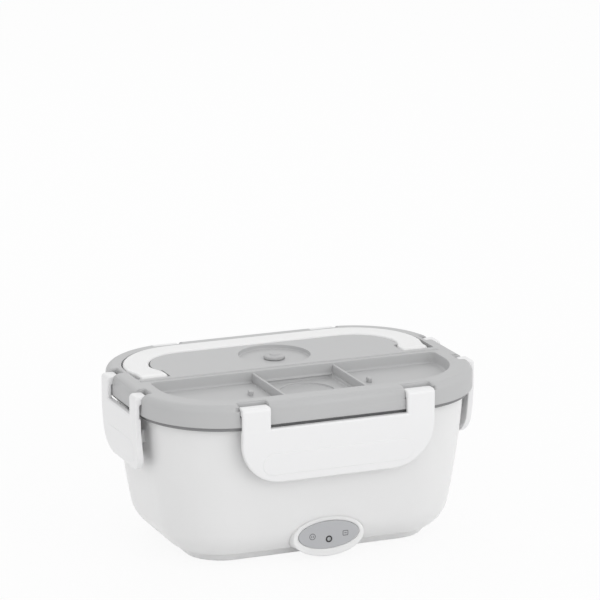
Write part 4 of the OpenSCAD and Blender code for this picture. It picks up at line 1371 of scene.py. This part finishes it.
@dataclass
class Latch(Assembly):
    """A white latch: a bowed panel with a hollow back, two ears, a lip and a finger pad.

    Attributes:
        side: The side of the box that it closes.
        width: Its length along that side.
        ear: Length of each ear.
        corner: Radius of its lower corners.
        lip: Length of the lip that hooks under the ledge.
    """

    side: Side
    width: float
    ear: float
    corner: float
    lip: float
    low_z: float = 60.0
    window_z: float = 96.5
    ear_top: float = 110.8
    face_x: float = 60.7
    ear_x: float = 57.3
    thick: float = 2.6
    deep: float = 4.0
    hinge_x: float = 53.8
    hinge_z: float = 108.0
    barrel_r: float = 2.8
    bow_r: float = 200.0
    edge: float = 1.2
    rim_edge: float = 0.5
    lip_x: float = 52.12
    lip_z: float = 76.4
    lip_t: float = 2.2
    pad_z: Flat = (5.5, 20.0)
    slices: Flat = (1.3, 2.4)

    def _bow(self, point: Vector) -> Vector:
        """Bends a point of the flat latch inwards below the window.

        Args:
            point: The point, which is moved.

        Returns:
            The same point.
        """
        if point.z < self.window_z:
            drop = self.window_z - point.z
            point.y += math.sqrt(self.bow_r ** 2 - drop ** 2) - self.bow_r
        return point

    def _bend(self, shape: Shape) -> None:
        """Cuts a flat shape into strips and bows it."""
        shape.slice(self.low_z + self.slices[0], self.window_z, self.slices[1])
        shape.bend(self._bow)

    def _finish(self, shape: Shape, part: str, stands_for: Sequence[str] = ()) -> None:
        """Turns a shape to the latch's side and makes it a piece of the latch."""
        shape.bend(lambda p: Vector(self.side.place(*p)))
        shape.piece(f"{self.side.name.lower()}_{part}", self.name, LATCH_WHITE, stands_for)

    @property
    def name(self) -> str:
        """Gives the name of the latch's body and node."""
        return f"{self.side.name.lower()}_latch"

    def _panel(self, shape: Shape) -> None:
        """Adds the panel: a round-edged plate with a flat rim and a hollow back.

        Args:
            shape: The shape that it goes into.
        """
        half, e, r, t = self.width / 2, self.edge, self.rim_edge, self.thick
        back, hollow = self.face_x - self.deep, self.face_x - self.thick
        outline = Outline(((-half, self.low_z, self.corner), (half, self.low_z, self.corner),
                           (half, self.window_z, 1.2), (-half, self.window_z, 1.2)), steps=14)
        outside = arc(-e, self.face_x - e, e, 90, 0, 5) + arc(-r, back + r, r, 0, -90, 3)
        inside = rounded([(0.6 - t, back, 0), (-t, back, 0.3), (-t - 0.3, hollow, 1.2),
                          (-t - 3.0, hollow, 0)], 4)
        shape.loft(outline, outside + inside, facing_front, True)

    def _ear(self, shape: Shape, low: float, high: float) -> None:
        """Adds one ear: a plate outside the lid that turns over its edge to the hinge.

        Args:
            shape: The shape that it goes into.
            low: Where it starts along the side.
            high: Where it ends.
        """
        face, barrel = self.face_x - 0.02, self.barrel_r - 0.01
        tip, under = self.hinge_x - self.barrel_r, self.hinge_z - self.barrel_r
        foot = self.window_z - 3.5
        section = Outline(((self.ear_x, foot, 0), (face, foot, 0), (face, self.ear_top, 2.6),
                           (tip, self.ear_top, barrel), (tip, under, barrel), (self.ear_x, under, 0.8)), steps=8)
        shape.block(section, low, high, self.edge, along_x, 5)

    def _lip(self, shape: Shape) -> None:
        """Adds the lip that hooks under the ledge.

        Args:
            shape: The shape that it goes into.
        """
        x, top, low = self.lip_x, self.lip_z, self.lip_z - self.lip_t
        deep = self._bow(Vector((0, self.face_x - 1.3, top))).y
        hook = Outline(((x, top - 0.6, 0.3), (x + 1.2, low, 0.4), (deep, low, 0), (deep, top, 0), (x, top, 0.3)),
                       steps=4)
        shape.block(hook, -self.lip / 2, self.lip / 2, 0.3, along_x)

    def build(self) -> None:
        """Makes the latch and its slightly raised finger pad."""
        half = self.width / 2
        shape = Shape()
        self._panel(shape)
        self._ear(shape, -half + 0.02, -half + self.ear)
        self._ear(shape, half - self.ear, half - 0.02)
        self._bend(shape)
        self._lip(shape)
        self._finish(shape, "clip", [self.name])
        (low, high), half, face = self.pad_z, half - self.corner * 0.5, self.face_x
        outline = box_outline(-half, self.low_z + low, half, self.low_z + high, min(self.corner * 0.45, 7.0), 10)
        shape = Shape()
        shape.loft(outline, [(0.0, face - 0.5), (0.0, face + 0.04), (-0.15, face + 0.14), (-0.5, face + 0.18)],
                   facing_front, True)
        self._bend(shape)
        self._finish(shape, "pad")


LATCHES = (*(Latch(side, 131.0, 19.0, 28.0, 92.0) for side in (Side.FRONT, Side.REAR)),
           *(Latch(side, 64.0, 11.5, 14.0, 39.0) for side in (Side.LEFT, Side.RIGHT)))


@dataclass(frozen=True)
class Lamp:
    """A soft square lamp that looks at the box.

    Attributes:
        name: Its name.
        spot: Its place in metres.
        size: Its width in metres.
        power: Its power in watts.
    """

    name: str
    spot: Spot
    size: float
    power: float

    def add(self) -> None:
        """Adds the lamp to the scene."""
        light = bpy.data.lights.new(self.name, "AREA")
        light.energy, light.size = self.power, self.size
        lamp = new_object(self.name, light)
        lamp.location = self.spot
        lamp.rotation_euler = (Vector((0, 0, 0.1)) - Vector(self.spot)).to_track_quat("-Z", "Y").to_euler()


@dataclass
class Studio:
    """The floor, the lights and the camera.

    Attributes:
        target: The point that the camera looks at, in metres.
        toward: The direction from there to the camera.
        distance: Their distance in metres.
        lens: The camera's focal length.
        bright: The direction from which the surround is brightest.
        surround: Its strength on the dark and on the bright side.
        floor_half: Half the floor's width, in millimetres.
        fade: Distances from the middle, in metres, between which the mirrored floor darkens.
        mirrored: How pale metal and gloss see the floor, at those two distances.
        pale: How much of the floor's colour is replaced by white where the camera sees it.
    """

    target: Spot = (0.01193, 0.01016, 0.15134)
    toward: Spot = (-0.3709, -0.8950, 0.2488)
    distance: float = 2.3
    lens: float = 212.8
    bright: Spot = (0.62, -0.74, 0.25)
    surround: Flat = (0.78, 0.98)
    floor_half: float = 4000.0
    fade: Flat = (0.15, 0.5)
    mirrored: Flat = (1.0, 0.35)
    pale: float = 0.9
    lamps: tuple[Lamp, ...] = (
        Lamp("key", (0.6, -1.6, 0.7), 1.2, 4.4),
        Lamp("fill", (-1.5, -0.5, 0.8), 1.4, 1.2),
        Lamp("back", (0.2, 1.4, 1.3), 1.2, 2.5),
    )

    def build(self) -> None:
        """Makes the stage."""
        self._world()
        self._floor()
        for lamp in self.lamps:
            lamp.add()
        self._camera()

    @staticmethod
    def _seen(nodes: Nodes) -> tuple[bpy.types.NodeSocket, bpy.types.NodeSocket]:
        """Gives the masks of what is seen directly or through glass, and of what is mirrored."""
        path = nodes.add("LightPath").outputs
        return nodes.math("MAXIMUM", path["Is Camera Ray"], path["Is Transmission Ray"]), path["Is Glossy Ray"]

    def _world(self) -> None:
        """Makes a soft pale surround that the camera sees as white."""
        world = bpy.data.worlds.new("surround")
        bpy.context.scene.world = world
        world.use_nodes = True
        nodes = Nodes(world.node_tree)
        seen, _ = self._seen(nodes)
        toward = nodes.add("TexCoord").outputs["Generated"]
        front = nodes.add("VectorMath", operation="DOT_PRODUCT", I0=toward, I1=self.bright).outputs["Value"]
        soft = nodes.spread(front, -1.0, 1.0, *self.surround)
        strength = nodes.add("Mix", data_type="FLOAT", I0=seen, I2=soft, I3=1.0).outputs[0]
        back = world.node_tree.nodes["Background"].inputs
        back["Color"].default_value = (1.0, 1.0, 1.0, 1.0)
        nodes.join(back["Strength"], strength)

    def _floor(self) -> None:
        """Makes the pale floor, which keeps the box's shadow."""
        made = bpy.data.materials.new("studio_floor")
        made.use_nodes = True
        nodes = Nodes(made.node_tree)
        shader = made.node_tree.nodes["Principled BSDF"]
        shader.inputs["Base Color"].default_value = (0.86, 0.86, 0.86, 1.0)
        shader.inputs["Roughness"].default_value = 0.8
        glow = nodes.add("Emission", Color=(1.0, 1.0, 1.0, 1.0), Strength=1.0)
        seen, glossy = self._seen(nodes)
        place = nodes.add("SeparateXYZ", Vector=nodes.add("NewGeometry").outputs["Position"]).outputs["X"]
        near = nodes.spread(nodes.math("ABSOLUTE", place), *self.fade, *self.mirrored)
        shown = nodes.math("MAXIMUM", seen, nodes.math("MULTIPLY", glossy, near))
        mix = nodes.add("MixShader", Fac=nodes.math("MULTIPLY", shown, self.pale), I1=shader.outputs[0],
                        I2=glow.outputs[0])
        nodes.join(made.node_tree.nodes["Material Output"].inputs["Surface"], mix.outputs[0])
        shape = Shape()
        far = self.floor_half
        shape.fill(shape.ring([(-far, -far, 0), (far, -far, 0), (far, far, 0), (-far, far, 0)]))
        new_object("studio_floor", shape.mesh("studio_floor", made))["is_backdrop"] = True

    def _camera(self) -> None:
        """Adds the camera at the photograph's viewing angle."""
        data = bpy.data.cameras.new("camera")
        data.lens, data.sensor_width = self.lens, 36.0
        data.clip_start, data.clip_end = 0.05, 50.0
        camera = new_object("camera", data)
        toward = Vector(self.toward).normalized()
        camera.location = Vector(self.target) + toward * self.distance
        camera.rotation_euler = toward.to_track_quat("Z", "Y").to_euler()
        bpy.context.scene.camera = camera
        bpy.context.scene.view_settings.view_transform = "Standard"


def corners(bounds: Iterable[Iterable[float]]) -> list[list[float]]:
    """Turns a box's corners into plain lists."""
    return [[float(v) for v in corner] for corner in bounds]


def main() -> None:
    """Builds every sub-assembly in order."""
    logging.basicConfig(level=logging.INFO, format="%(name)s: %(message)s")
    cad = corners(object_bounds())
    for part in (Base(), Tray(), Container(), Lid(), Handle(), *LATCHES):
        LOG.info("building %s", type(part).__name__)
        part.add()
    Studio().build()
    {"cad": cad, "visual": corners(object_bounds())}


if __name__ == "__main__":
    main()
